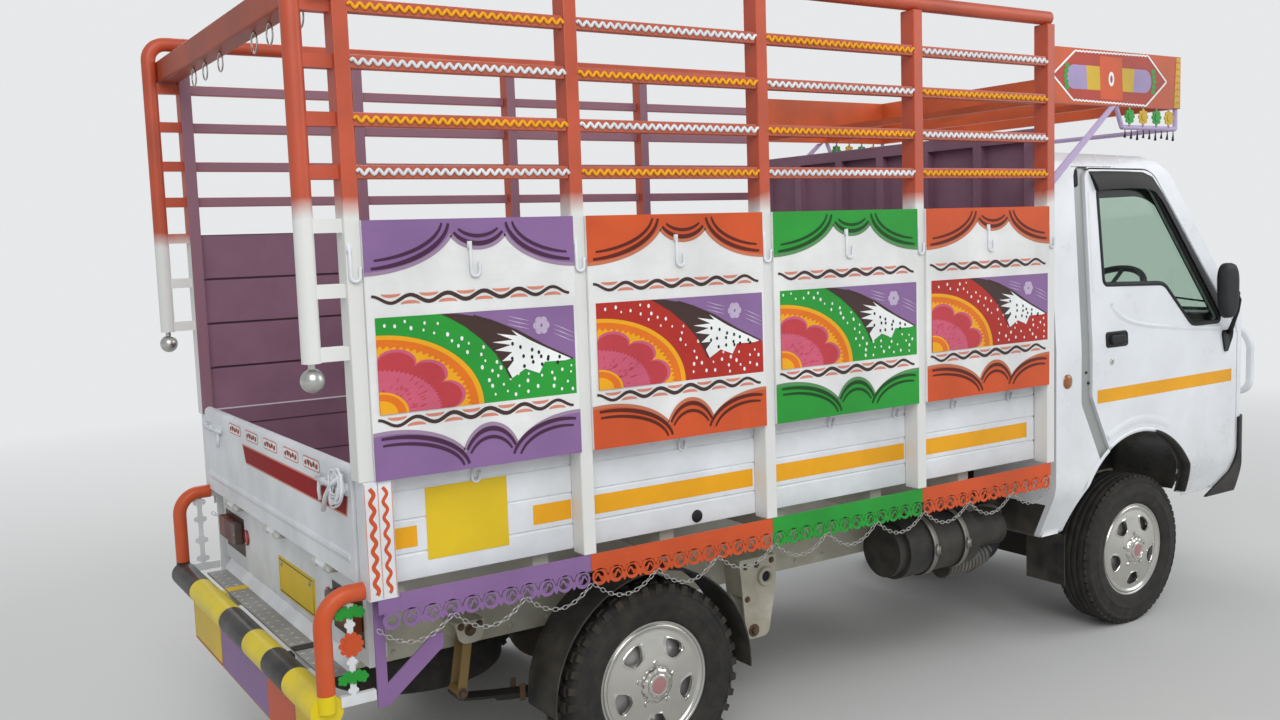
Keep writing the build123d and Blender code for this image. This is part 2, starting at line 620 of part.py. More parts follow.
# Tailgate, hinged along its lower edge
with BuildPart() as tailgate:
    gate_x = (-TAILGATE_T - RUNNING_GAP, -RUNNING_GAP)
    span(gate_x, (-TAILGATE_HALF_W, TAILGATE_HALF_W), (TAILGATE_PIN_Z + 14, TAILGATE_TOP))
    span((gate_x[0] - 1, gate_x[0] + 6), (-700, 700), (850, 870), mode=Mode.SUBTRACT)
    x = -TAILGATE_T / 2 - RUNNING_GAP
    spoke((x, -TAILGATE_HALF_W, TAILGATE_TOP), (x, TAILGATE_HALF_W, TAILGATE_TOP), 17)
    pin_half = HINGE_HALF + LUG_W
    for y in HINGE_Y:
        pin = [(TAILGATE_PIN_X, y + side * pin_half, TAILGATE_PIN_Z) for side in (-1, 1)]
        spoke(*pin, TAILGATE_PIN_R)
        tab_z = (TAILGATE_PIN_Z, TAILGATE_PIN_Z + 16)
        span((TAILGATE_PIN_X - 5, TAILGATE_PIN_X + 5), (y - HINGE_HALF, y + HINGE_HALF), tab_z)

# Lower rear panel under the tray, with hinge eyes beside the tailgate's hinge pins
with BuildPart() as rear_panel:
    panel_y = (-REAR_PANEL_HALF_W, REAR_PANEL_HALF_W)
    span((0, 18), panel_y, (REAR_PANEL_BOTTOM, BEARER_BOTTOM + 40))
    span((0, 50), panel_y, (REAR_PANEL_BOTTOM + 20, REAR_PANEL_BOTTOM + 60))
    span((0, BEARER_W - RUNNING_GAP), panel_y, (BEARER_BOTTOM + 10, BEARER_BOTTOM + 40))

# Tail lamps and reflectors on the rear panel
with BuildPart() as tail_lamps:
    for side in (-1, 1):
        y = side * 590
        span((-28, 0), (y - 108, y + 108), (648, 720))
    fillet(tail_lamps.edges().filter_by(Axis.X), 8)

# Blank number plate and blank sign board
with BuildPart() as rear_plates:
    span((-4, 0), (-300, 50), (585, 700))
    span((PIPE_X - 2, PIPE_X + 2), (-660, 660), (300, PIPE_Z - PIPE_D / 2 - RUNNING_GAP))

# Rear bumper: cross pipe, round-bent hoops at its ends and arms to the chassis rails
with BuildPart() as rear_bumper:
    spoke((PIPE_X, -PIPE_HALF_L, PIPE_Z), (PIPE_X, PIPE_HALF_L, PIPE_Z), PIPE_D / 2)
    with BuildLine() as hoop:
        FilletPolyline(
            *[
                (x, HOOP_Y, z)
                for x, z in ((PIPE_X, PIPE_Z), (PIPE_X, HOOP_TOP), (-30 - RUNNING_GAP, HOOP_TOP))
            ],
            radius=HOOP_ELBOW_R,
        )
    with BuildSketch(Plane(origin=hoop.line @ 0, z_dir=hoop.line % 0)):
        Circle(HOOP_D / 2)
    sweep()
    arm_y = RAIL_OUTER_Y - RAIL_W / 2
    span((PIPE_X, RAIL_REAR_X - RUNNING_GAP), (arm_y - 20, arm_y + 20), (PIPE_Z - 25, PIPE_Z + 25))
    mirror(about=Plane.XZ)

# Step deck between the pipe and the rear panel
with BuildPart() as step_deck:
    deck_z = (PIPE_Z + 25 + RUNNING_GAP, PIPE_Z + 25 + RUNNING_GAP + DECK_T)
    span((PIPE_X + 46, -3), (-640, 640), deck_z)

# Skirts below the tray, one per bay, and the triangular brackets at the rear
SKIRT_TOP = POST_FOOT - RUNNING_GAP
SKIRT_LOW = 688
SKIRT_T = 5
SKIRT_OUT = POST_OUT
SKIRT_BAYS = [(a, b) for a, b in zip(POST_X, POST_X[1:])]
BRACKET_TOP = POST_FOOT - 10 - RUNNING_GAP
BRACKET_T = 6
BRACKET = (
    (-8, BRACKET_TOP, 4),
    (-8, 478, 4),
    (26, 478, 10),
    (178, 598, 10),
    (178, 640, 10),
    (140, 640, 10),
    (26, 540, 10),
    (26, BRACKET_TOP, 4),
)
with BuildPart() as side_skirts:
    for x0, x1 in SKIRT_BAYS:
        left = max(x0, POST_X[0] + 70)
        span((left + 0.5, x1 - 0.5), (SKIRT_OUT - SKIRT_T, SKIRT_OUT), (SKIRT_LOW, SKIRT_TOP))
    extrude(outline(SIDE.offset(-HOOP_Y - BRACKET_T / 2), BRACKET), amount=BRACKET_T)
    mirror(about=Plane.XZ)

# Outer cab form, cut back by an inset on all sides: side, front and plan views crossed
CAB_SIDE = (
    (CAB_REAR, CAB_BOTTOM, 15),
    (CAB_REAR, 1925, 60),
    (3395, 1910, 260),
    (3955, 1200, 60),
    (4045, 960, 120),
    (4060, 800, 30),
    (4060, CAB_BOTTOM + 10, 20),
    (4040, CAB_BOTTOM, 8),
)
CAB_FRONT = ((700, CAB_BOTTOM - 8, 40), (CAB_HALF_W, 640, 200), (CAB_HALF_W, 1180, 400), (738, 1948, 120))
CAB_PLAN = ((820, CAB_REAR - 10, 20), (785, 3960, 120), (540, 4066, 200))


@cache
def cab_form(inset):
    """The cab's closed outer form, cut back by an inset on all sides."""
    with BuildPart() as form:
        side_view = outline(SIDE.offset(-REACH), CAB_SIDE, inset)
        front_view = outline(ACROSS.offset(CAB_REAR - 50), mirrored(CAB_FRONT), inset)
        top_view = outline(PLAN, mirrored(CAB_PLAN), inset)
        extrude(side_view, amount=2 * REACH)
        extrude(front_view, amount=1500, mode=Mode.INTERSECT)
        extrude(top_view, amount=2 * REACH, mode=Mode.INTERSECT)
    return form.part


def through(rows, inset=0):
    """A side outline drawn right through the cab from left to right."""
    return extrude(outline(SIDE.offset(-REACH), rows, inset), amount=2 * REACH, mode=Mode.PRIVATE)


# Cab openings, as rows of (station, height, corner radius)
DOOR_FRONT_X = 3882
DOOR_ROWS = (
    (2905, 1858, 40),
    (3325, 1855, 120),
    (3850, 1218, 30),
    (DOOR_FRONT_X, 1165, 20),
    (DOOR_FRONT_X, 500, 110),
    (3400, 500, 5),
    (3055, 690, 5),
    (2905, 985, 60),
)
WINDOW_ROWS = (
    (2995, 1418, 20),
    (2980, 1792, 30),
    (3330, 1792, 80),
    (3768, 1226, 15),
    (3560, 1226, 60),
    (3380, 1405, 80),
)
JAMB_ROWS = (
    (2838, 1868, 40),
    (2838, 965, 60),
    (2960, 725, 30),
    (3070, 640, 5),
    (2925, 985, 40),
    (2925, 1868, 5),
)
JAMB_DEPTH = 12
CABIN_ROWS = (
    (CAB_REAR - 20, SEAT_BOX_TOP, 1),
    (CAB_REAR - 20, 2100, 1),
    (4200, 2100, 1),
    (4200, FOOTWELL_FLOOR, 1),
    (FOOTWELL_REAR, FOOTWELL_FLOOR, 20),
    (FOOTWELL_REAR, SEAT_BOX_TOP, 20),
)
SCREEN_LOW = (3955, 1200)
SCREEN_HIGH = (3395, 1910)
SCREEN = Plane(
    origin=((SCREEN_LOW[0] + SCREEN_HIGH[0]) / 2, 0, (SCREEN_LOW[1] + SCREEN_HIGH[1]) / 2),
    x_dir=(0, 1, 0),
    z_dir=(SCREEN_HIGH[1] - SCREEN_LOW[1], 0, SCREEN_LOW[0] - SCREEN_HIGH[0]),
)
SCREEN_ROWS = ((695, -365, 60), (645, 290, 90))
REAR_WINDOW_ROWS = ((520, 1480, 50), (500, 1790, 50))
LAMP_ROWS = ((470, 905, 40), (700, 925, 40), (690, 1075, 50), (520, 1050, 50))
WELL_IN_Y = 405
BAY_HALF_W = 385
UNDER = CAB_BOTTOM - 50
NOSE_IN_X = 4018
# The pillar's foot is cut back where the door's edge crosses the hinge line
PILLAR_CUT = 12
PILLAR_CUT_Z = (1168, 1222)

with BuildPart() as cabin:
    add(cab_form(CAB_WALL))
    add(through(CABIN_ROWS), mode=Mode.INTERSECT)

with BuildPart() as doorway:
    add(through(DOOR_ROWS, -DOOR_GAP))
    with BuildSketch(SIDE.offset(-REACH)):
        with Locations((ARCH_X, ARCH_Z)):
            Circle(ARCH_R - 1)
    extrude(amount=2 * REACH, mode=Mode.SUBTRACT)
    add(cab_form(CAB_WALL + 2), mode=Mode.SUBTRACT)

with BuildPart() as jamb:
    add(through(JAMB_ROWS))
    add(cab_form(JAMB_DEPTH), mode=Mode.SUBTRACT)

with BuildPart() as cab_body:
    add(cab_form(0))
    add(cabin.part, mode=Mode.SUBTRACT)
    add(jamb.part, mode=Mode.SUBTRACT)
    add(doorway.part, mode=Mode.SUBTRACT)
    for y in (WELL_IN_Y + 600, -WELL_IN_Y):
        with BuildSketch(SIDE.offset(-y)):
            with Locations((ARCH_X, ARCH_Z)):
                Circle(ARCH_R)
        extrude(amount=600, mode=Mode.SUBTRACT)
    bay_y = (-BAY_HALF_W, BAY_HALF_W)
    span((CAB_REAR - 5, FOOTWELL_REAR - 30), bay_y, (UNDER, SEAT_BOX_TOP - FLOOR_T), mode=Mode.SUBTRACT)
    span((FOOTWELL_REAR - 40, NOSE_IN_X), (-720, 720), (UNDER, FOOTWELL_FLOOR - FLOOR_T), mode=Mode.SUBTRACT)
    for side in (-1, 1):
        corner_y = sorted((side * (WELL_IN_Y + 20), side * 750))
        span((CAB_REAR + 30, 2790), corner_y, (UNDER, 780), mode=Mode.SUBTRACT)
        rail_y = sorted((side * (RAIL_INNER_Y - 5), side * (WELL_IN_Y + 1)))
        span((CAB_REAR - 5, NOSE_IN_X), rail_y, (UNDER, RAIL_TOP + CAB_LIFT), mode=Mode.SUBTRACT)
        foot_y = sorted((side * (CAB_HALF_W - PILLAR_CUT), side * (CAB_HALF_W + 5)))
        span((DOOR_PIN_X - 5, DOOR_PIN_X + 15), foot_y, PILLAR_CUT_Z, mode=Mode.SUBTRACT)
    extrude(outline(SCREEN.offset(-90), mirrored(SCREEN_ROWS)), amount=180, mode=Mode.SUBTRACT)
    extrude(outline(ACROSS.offset(CAB_REAR - 20), mirrored(REAR_WINDOW_ROWS)), amount=90, mode=Mode.SUBTRACT)
    wall_in = CAB_HALF_W - CAB_WALL
    for side in (-1, 1):
        for z in DOOR_HINGE_Z:
            pin_y = side * DOOR_PIN_Y
            arm_x = (DOOR_PIN_X - DOOR_PIN_R - 0.5, DOOR_PIN_X + DOOR_PIN_R + 0.5)
            arm_z = (z - HINGE_ARM_HALF, z + HINGE_ARM_HALF)
            spoke((DOOR_PIN_X, pin_y, z - DOOR_PIN_HALF), (DOOR_PIN_X, pin_y, z + DOOR_PIN_HALF), DOOR_PIN_R)
            span(arm_x, sorted((side * DOOR_PIN_Y, side * (wall_in - 7))), arm_z)
            span((arm_x[0], DOOR_FRONT_X + 43), sorted((side * (wall_in + 2), side * (wall_in - 7))), arm_z)

# Windscreen and rear window, one pane each
with BuildPart() as pane:
    add(cab_form(GLASS_SINK))
    add(cab_form(GLASS_SINK + GLASS_T), mode=Mode.SUBTRACT)
with BuildPart() as cab_glass:
    extrude(outline(SCREEN.offset(-90), mirrored(SCREEN_ROWS), RUNNING_GAP), amount=180)
    extrude(outline(ACROSS.offset(CAB_REAR - 20), mirrored(REAR_WINDOW_ROWS), RUNNING_GAP), amount=90)
    add(pane.part, mode=Mode.INTERSECT)

# Doors: the cab's own form inside the door's outline, as thick as the whole door, with the window cut
DOOR_T = 36
with BuildPart() as door_right:
    add(cab_form(0))
    add(through(DOOR_ROWS), mode=Mode.INTERSECT)
    add(cab_form(DOOR_T), mode=Mode.SUBTRACT)
    with BuildSketch(SIDE.offset(-REACH)):
        with Locations((ARCH_X, ARCH_Z)):
            Circle(ARCH_R + 5)
    extrude(amount=2 * REACH, mode=Mode.SUBTRACT)
    add(through(WINDOW_ROWS), mode=Mode.SUBTRACT)
    split(bisect_by=Plane.XZ, keep=Keep.TOP)
    for z in DOOR_HINGE_Z:
        notch_z = (z - HINGE_ARM_HALF - 3, z + HINGE_ARM_HALF + 3)
        span((DOOR_PIN_X - 20, DOOR_PIN_X + 30), (-DOOR_PIN_Y - 6, -700), notch_z, mode=Mode.SUBTRACT)
        with Locations((DOOR_PIN_X, -DOOR_PIN_Y, z)):
            Cylinder(DOOR_PIN_R + RUNNING_GAP, 2 * DOOR_PIN_HALF + 2, mode=Mode.SUBTRACT)
with BuildPart() as door_left:
    mirror(door_right.part, about=Plane.XZ)

with BuildPart() as door_glass_right:
    add(through(WINDOW_ROWS, RUNNING_GAP))
    add(cab_form(GLASS_SINK), mode=Mode.INTERSECT)
    add(cab_form(GLASS_SINK + GLASS_T), mode=Mode.SUBTRACT)
    split(bisect_by=Plane.XZ, keep=Keep.TOP)
with BuildPart() as door_glass_left:
    mirror(door_glass_right.part, about=Plane.XZ)

# Door handle, key lock, mirror and mirror arm, all on the door
MIRROR_X = 3672
MIRROR_Z = (1245, 1475)
SKIN_Y = -CAB_HALF_W - RUNNING_GAP
with BuildPart() as mirror_case:
    span((MIRROR_X - 70, MIRROR_X + 70), (SKIN_Y - 105, SKIN_Y - 70), MIRROR_Z)
    fillet(mirror_case.edges().filter_by(Axis.X), 14)
    fillet(mirror_case.edges().filter_by(Axis.Y), 14)
with BuildPart() as door_trim_right:
    skin = SKIN_Y
    span((3010, 3100), (skin - 12, skin), (1180, 1218))
    fillet(door_trim_right.edges().filter_by(Axis.Y), 12)
    add(mirror_case.part)
    spoke((3790, skin - 8.5, 1150), (MIRROR_X + 20, skin - 80, 1290), 9)
    span((3770, 3840), (skin - 6, skin), (1100, 1180))
with BuildPart() as door_trim_left:
    mirror(door_trim_right.part, about=Plane.XZ)

# Lower front bumper wrapping round the nose
BUMPER_ROWS = (
    (3893, BUMPER_TOP, 5),
    (3893, 560, 30),
    (3790, 462, 10),
    (3790, 430, 5),
    (4200, 430, 5),
    (4200, BUMPER_TOP, 5),
)
BUMPER_PROUD = 10
with BuildPart() as front_bumper:
    add(cab_form(-BUMPER_PROUD))
    add(cab_form(-RUNNING_GAP), mode=Mode.SUBTRACT)
    add(through(BUMPER_ROWS), mode=Mode.INTERSECT)
    for z in (610, 650, 690):
        span((4000, 4100), (-360, 360), (z, z + 18), mode=Mode.SUBTRACT)
    span((3700, 4030), (-720, 720), (400, CAB_BOTTOM), mode=Mode.SUBTRACT)

# Headlamps in the nose, proud of the sheet
with BuildPart() as headlamps:
    for rows in (LAMP_ROWS, [(-y, z, r) for y, z, r in reversed(LAMP_ROWS)]):
        extrude(outline(ACROSS.offset(3850), rows), amount=300)
    add(cab_form(-6), mode=Mode.INTERSECT)
    add(cab_form(-RUNNING_GAP), mode=Mode.SUBTRACT)

# White tube guard in front of the nose, carried under the bumper from the rails
GUARD_TUBE = 28
GUARD_ROWS = ((720, 865, 70), (720, 1180, 110))
with BuildPart() as front_guard:
    guard = outline(ACROSS.offset(GUARD_FRONT - GUARD_TUBE), mirrored(GUARD_ROWS))
    extrude(guard, amount=GUARD_TUBE)
    inner = outline(ACROSS.offset(GUARD_FRONT - GUARD_TUBE), mirrored(GUARD_ROWS), GUARD_TUBE)
    extrude(inner, amount=GUARD_TUBE, mode=Mode.SUBTRACT)
    fillet(front_guard.edges().filter_by(lambda edge: edge.length > 1), 8)
    x = GUARD_FRONT - GUARD_TUBE / 2
    for y in (-RAIL_OUTER_Y + RAIL_W / 2, RAIL_OUTER_Y - RAIL_W / 2):
        spoke((x, y, 1160), (x, y, 418), 12)
        spoke((RAIL_FRONT_X - 90, y, 418), (x, y, 418), 12)
        span((RAIL_FRONT_X - 100, RAIL_FRONT_X - 20), (y - 20, y + 20), (418, RAIL_BOTTOM))

# Seats: cushions on the seat box and backs behind them
with BuildPart() as seats:
    for y in (-SEAT_Y, SEAT_Y):
        span((2900, 3400), (y - SEAT_W / 2, y + SEAT_W / 2), (SEAT_BOX_TOP + RUNNING_GAP, SEAT_BOX_TOP + 120))
        span((2780, 2895), (y - SEAT_W / 2, y + SEAT_W / 2), (SEAT_BOX_TOP + RUNNING_GAP, SEAT_BOX_TOP + 640))

# Dashboard and steering column
DASH_ROWS = (
    (3640, 960, 20),
    (3655, 1120, 40),
    (3720, 1215, 40),
    (3990, 1215, 5),
    (3990, 900, 5),
    (3700, 900, 30),
)
COLUMN_UP = (-sin(radians(STEERING_TILT)), 0, cos(radians(STEERING_TILT)))
HUB = Vector(*WHEEL_HUB)
UP = Vector(*COLUMN_UP)
DASH_HALF_W = CAB_HALF_W - CAB_WALL - 12
with BuildPart() as dashboard:
    add(through(DASH_ROWS))
    add(cab_form(CAB_WALL + RUNNING_GAP), mode=Mode.INTERSECT)
    for y in ((-CAB_HALF_W, -DASH_HALF_W), (DASH_HALF_W, CAB_HALF_W)):
        span((3500, 4100), y, (800, 1300), mode=Mode.SUBTRACT)
    spoke(HUB - UP * 250, HUB - UP * 40, 26)

# Steering wheel on its column
with BuildPart() as steering_wheel:
    with BuildSketch(Plane(origin=HUB, x_dir=(0, 1, 0), z_dir=UP)):
        Circle(34)
    extrude(amount=-39.7)
    with Locations(Plane(origin=HUB, x_dir=(0, 1, 0), z_dir=UP).location):
        Torus(STEERING_R - STEERING_GRIP_R, STEERING_GRIP_R)
    across = Vector(0, 1, 0)
    down = across.cross(UP)
    for turn in (0, 120, 240):
        reach = across * cos(radians(turn + 90)) + down * sin(radians(turn + 90))
        spoke(HUB - UP * 12, HUB + reach * (STEERING_R - STEERING_GRIP_R), 9)

# Overcab box: painted side and front boards round the cab's roof, on a drop frame and two braces
CROWN_X = (POST_X[-1] + POST_W / 2 + RUNNING_GAP, 3395)
CROWN_Z = (2090, 2290)
CROWN_HALF_W = 822
CROWN_T = 26
DROP_X = (3040, CROWN_X[1] - 14)
DROP_Z = 2012
DROP_R = 9
BRACE_T = 6
BRACE_ROWS = ((CROWN_X[0], 1775, 1), (CROWN_X[0], 1815, 1), (2950, 2085, 1), (2990, CROWN_Z[0] + 1, 1))
with BuildPart() as crown_box:
    for side in (-1, 1):
        y = sorted((side * CROWN_HALF_W, side * (CROWN_HALF_W - CROWN_T)))
        span(CROWN_X, y, CROWN_Z)
        inner = side * (CROWN_HALF_W - CROWN_T / 2)
        top = CROWN_Z[0] + 6
        spoke((DROP_X[0] - 40, inner, top), (DROP_X[0], inner, DROP_Z), DROP_R)
        spoke((DROP_X[0], inner, DROP_Z), (DROP_X[1], inner, DROP_Z), DROP_R)
        spoke((DROP_X[1], inner, DROP_Z), (DROP_X[1], inner, top), DROP_R)
    span((CROWN_X[1] - CROWN_T, CROWN_X[1]), (-CROWN_HALF_W, CROWN_HALF_W), CROWN_Z)
    spoke((DROP_X[1], -inner, DROP_Z), (DROP_X[1], inner, DROP_Z), DROP_R)
    for x in (CROWN_X[0], 2990):
        span((x, x + 25), (-CROWN_HALF_W + 10, CROWN_HALF_W - 10), (CROWN_Z[0], CROWN_Z[0] + 25))
    brace = extrude(outline(SIDE.offset(-CROWN_HALF_W), BRACE_ROWS), amount=BRACE_T)
    mirror(brace, about=Plane.XZ)

# White rope hooks, bent up at the foot, one on each post and one on each board
HOOK_FOOT = 1570
HOOK_TALL = 82
HOOK_REACH = 12
HOOK_WIRE = 9
with BuildSketch(SIDE) as hook:
    with BuildLine():
        Polyline((-HOOK_REACH, HOOK_TALL), (-HOOK_REACH, HOOK_REACH))
        CenterArc((0, HOOK_REACH), HOOK_REACH, 180, 180)
        Line((HOOK_REACH, HOOK_REACH), (HOOK_REACH, 3 * HOOK_REACH))
    trace(line_width=HOOK_WIRE)
HOOK_ROWS = ((BOARD_OUT, [(a + b) / 2 for a, b in BAYS]), (POST_OUT, POST_X[1:]))
with BuildPart() as rope_hooks:
    for face, stations in HOOK_ROWS:
        with BuildSketch(SIDE.offset(-face - RUNNING_GAP - HOOK_WIRE)):
            with Locations(*[(x, HOOK_FOOT) for x in stations]):
                add(hook.sketch_local)
        extrude(amount=HOOK_WIRE)
    mirror(about=Plane.XZ)

# Chain swags under the skirts, three in each bay
SWAG_COUNT = 3
SWAG_SAG = 48
SWAG_LIFT = 8
SWAG_W = 7
with BuildPart() as chain_swags:
    for x0, x1 in SKIRT_BAYS:
        step = (x1 - x0) / SWAG_COUNT
        for row in range(SWAG_COUNT):
            a = x0 + row * step + 4
            b = x0 + (row + 1) * step - 4
            radius = ((b - a) ** 2 / 4 + SWAG_SAG**2) / (2 * SWAG_SAG)
            centre = ((a + b) / 2, SKIRT_LOW + SWAG_LIFT + radius - SWAG_SAG)
            half = degrees(asin((b - a) / 2 / radius))
            with BuildSketch(SIDE.offset(-SKIRT_OUT - SWAG_W - RUNNING_GAP)):
                with BuildLine():
                    low = CenterArc(centre, radius, 270 - half, 2 * half)
                    top = CenterArc(centre, radius - SWAG_W, 270 - half, 2 * half)
                    Line(low @ 0, top @ 0)
                    Line(low @ 1, top @ 1)
                make_face()
            extrude(amount=SWAG_W)
    mirror(about=Plane.XZ)

# Mudguards over the rear wheels and mudflaps behind the front wheels
MUDGUARD_R = 350
MUDGUARD_T = 5
MUDGUARD_Y = (585, 755)
with BuildPart() as mudguards:
    with BuildSketch(SIDE.offset(-MUDGUARD_Y[1])):
        with Locations((REAR_AXLE_X, WHEEL_Z)):
            Circle(MUDGUARD_R + MUDGUARD_T)
            Circle(MUDGUARD_R, mode=Mode.SUBTRACT)
        with Locations((REAR_AXLE_X, WHEEL_Z - 250)):
            Rectangle(900, 460, mode=Mode.SUBTRACT)
    extrude(amount=MUDGUARD_Y[1] - MUDGUARD_Y[0])
    hanger_x = BEARER_W + 2 * BEARER_PITCH
    span((hanger_x + 2, hanger_x + BEARER_W - 2), (655, 665), (WHEEL_Z + MUDGUARD_R - 5, BEARER_BOTTOM))
    span((2797, 2802), (560, 740), (250, CAB_BOTTOM - RUNNING_GAP))
    mirror(about=Plane.XZ)

# Ornaments inside the bumper hoops: an upright strip with three flowers
with BuildPart() as hoop_ornaments:
    x = PIPE_X / 2
    span((x - 9, x + 9), (HOOP_Y - 2, HOOP_Y + 2), (PIPE_Z + 30, HOOP_TOP - HOOP_D / 2 - 3))
    for z in (575, 650, 725):
        with Locations((x, HOOP_Y, z)):
            Cylinder(24, 10, rotation=(90, 0, 0))
    span((PIPE_X + 35.5, -10), (HOOP_Y - 3, HOOP_Y + 3), (PIPE_Z + 24, PIPE_Z + 30))
    mirror(about=Plane.XZ)

PIECES = {
    "chassis_frame": chassis_frame,
    "cross_members": cross_members,
    "rear_springs": rear_springs,
    "rear_axle": rear_axle,
    "engine": engine,
    "exhaust": exhaust,
    "fuel_tank": fuel_tank,
    "air_cleaner": air_cleaner,
    "spare_wheel": spare_wheel,
    "front_suspension": front_suspension,
    "cab_body": cab_body,
    "cab_glass": cab_glass,
    "front_bumper": front_bumper,
    "headlamps": headlamps,
    "front_guard": front_guard,
    "seats": seats,
    "dashboard": dashboard,
    "steering_wheel": steering_wheel,
    "door_right": door_right,
    "door_left": door_left,
    "door_glass_right": door_glass_right,
    "door_glass_left": door_glass_left,
    "door_trim_right": door_trim_right,
    "door_trim_left": door_trim_left,
    "load_floor": load_floor,
    "tray_sides": tray_sides,
    "headboard": headboard,
    "corner_boards": corner_boards,
    "tailgate": tailgate,
    "side_boards": side_boards,
    "cage_posts": cage_posts,
    "cage_rails": cage_rails,
    "ladder_tubes": ladder_tubes,
    "rear_beam": rear_beam,
    "cage_ornaments": cage_ornaments,
    "crown_box": crown_box,
    "side_skirts": side_skirts,
    "chain_swags": chain_swags,
    "rope_hooks": rope_hooks,
    "rear_bumper": rear_bumper,
    "step_deck": step_deck,
    "rear_panel": rear_panel,
    "tail_lamps": tail_lamps,
    "rear_plates": rear_plates,
    "hoop_ornaments": hoop_ornaments,
    "mudguards": mudguards,
    **{f"tyre_{name}": piece for name, piece in tyres.items()},
    **{f"wheel_{name}": piece for name, piece in wheels.items()},
    **{f"knuckle_{name}": piece for name, piece in knuckles.items()},
}
os.makedirs("parts", exist_ok=True)
for name, piece in PIECES.items():
    placed = Pos(-MIDDLE, 0, 0) * piece.part
    placed.label = name
    export_step(placed, f"parts/{name}.step")
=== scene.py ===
import bmesh
import bpy
import random
from math import acos, atan2, cos, degrees, exp, hypot, pi, radians, sin
from mathutils import Matrix, Vector


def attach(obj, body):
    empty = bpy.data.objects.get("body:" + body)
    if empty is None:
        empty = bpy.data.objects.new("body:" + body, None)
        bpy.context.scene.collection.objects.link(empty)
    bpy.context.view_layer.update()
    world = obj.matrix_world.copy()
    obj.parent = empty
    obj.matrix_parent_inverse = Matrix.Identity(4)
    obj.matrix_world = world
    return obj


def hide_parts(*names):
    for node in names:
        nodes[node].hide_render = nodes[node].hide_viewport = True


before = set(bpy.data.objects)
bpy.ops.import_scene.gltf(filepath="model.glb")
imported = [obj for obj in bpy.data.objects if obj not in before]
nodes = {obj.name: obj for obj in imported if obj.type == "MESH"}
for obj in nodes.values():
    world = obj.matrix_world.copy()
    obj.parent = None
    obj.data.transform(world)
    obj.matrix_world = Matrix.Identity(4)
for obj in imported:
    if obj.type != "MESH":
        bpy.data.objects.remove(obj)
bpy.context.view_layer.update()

# Sizes shared with the modelled parts, in metres. Stations run forward from the load body's rear edge.
MIDDLE = 1.97875
POST_X = (-0.020, 0.611, 1.263, 1.915, 2.581)
POST_W = 0.040
POST_OUT = 0.8453
BOARD_OUT = 0.8533
BOARD_Z = (1.073, 1.718)
RAIL_LEVELS = (1.835, 1.961, 2.098, 2.230)
RAIL_OUT = 0.8413
TRAY_OUT = 0.785
SKIRT_OUT = 0.8453
SKIRT_TOP = 0.7797
WHEEL_Z = 0.310
# Wheels: station, half track, side (left is +1)
WHEELS = {"rl": (0.883, 0.6625, 1), "rr": (0.883, 0.6625, -1), "fl": (3.263, 0.648, 1), "fr": (3.263, 0.648, -1)}
ARCH = (3.210, 0.425)
SIDES = (-1, 1)
SIDE_NAMES = ((-1, "right"), (1, "left"))
PAINT = 0.0004
BAYS = [(a + POST_W / 2, b - POST_W / 2) for a, b in zip(POST_X, POST_X[1:])]


# Materials
def linear(rgb):
    """A display colour, 0 to 255, as linear light."""
    shares = [value / 255 for value in rgb]
    return (*(c / 12.92 if c <= 0.04045 else ((c + 0.055) / 1.055) ** 2.4 for c in shares), 1)


class Value:
    """A number or colour that a node tree works out. It has the operators of the table below."""

    def __init__(self, shader, socket):
        self.shader, self.socket = shader, socket

    def __rsub__(self, other):
        return self.shader.math("SUBTRACT", other, self)

    def __abs__(self):
        return self.shader.math("ABSOLUTE", self)

    def ramp(self, low, high):
        """0 below low, 1 above high."""
        made = self.shader.node("ShaderNodeMapRange")
        self.shader.put(made, {"Value": self, "From Min": low, "From Max": high})
        return Value(self.shader, made.outputs["Result"])


OPERATORS = {
    "add": "ADD", "sub": "SUBTRACT", "mul": "MULTIPLY", "truediv": "DIVIDE", "pow": "POWER",
    "gt": "GREATER_THAN", "lt": "LESS_THAN",
}
for word, operation in OPERATORS.items():
    setattr(Value, f"__{word}__", lambda a, b, operation=operation: a.shader.math(operation, a, b))


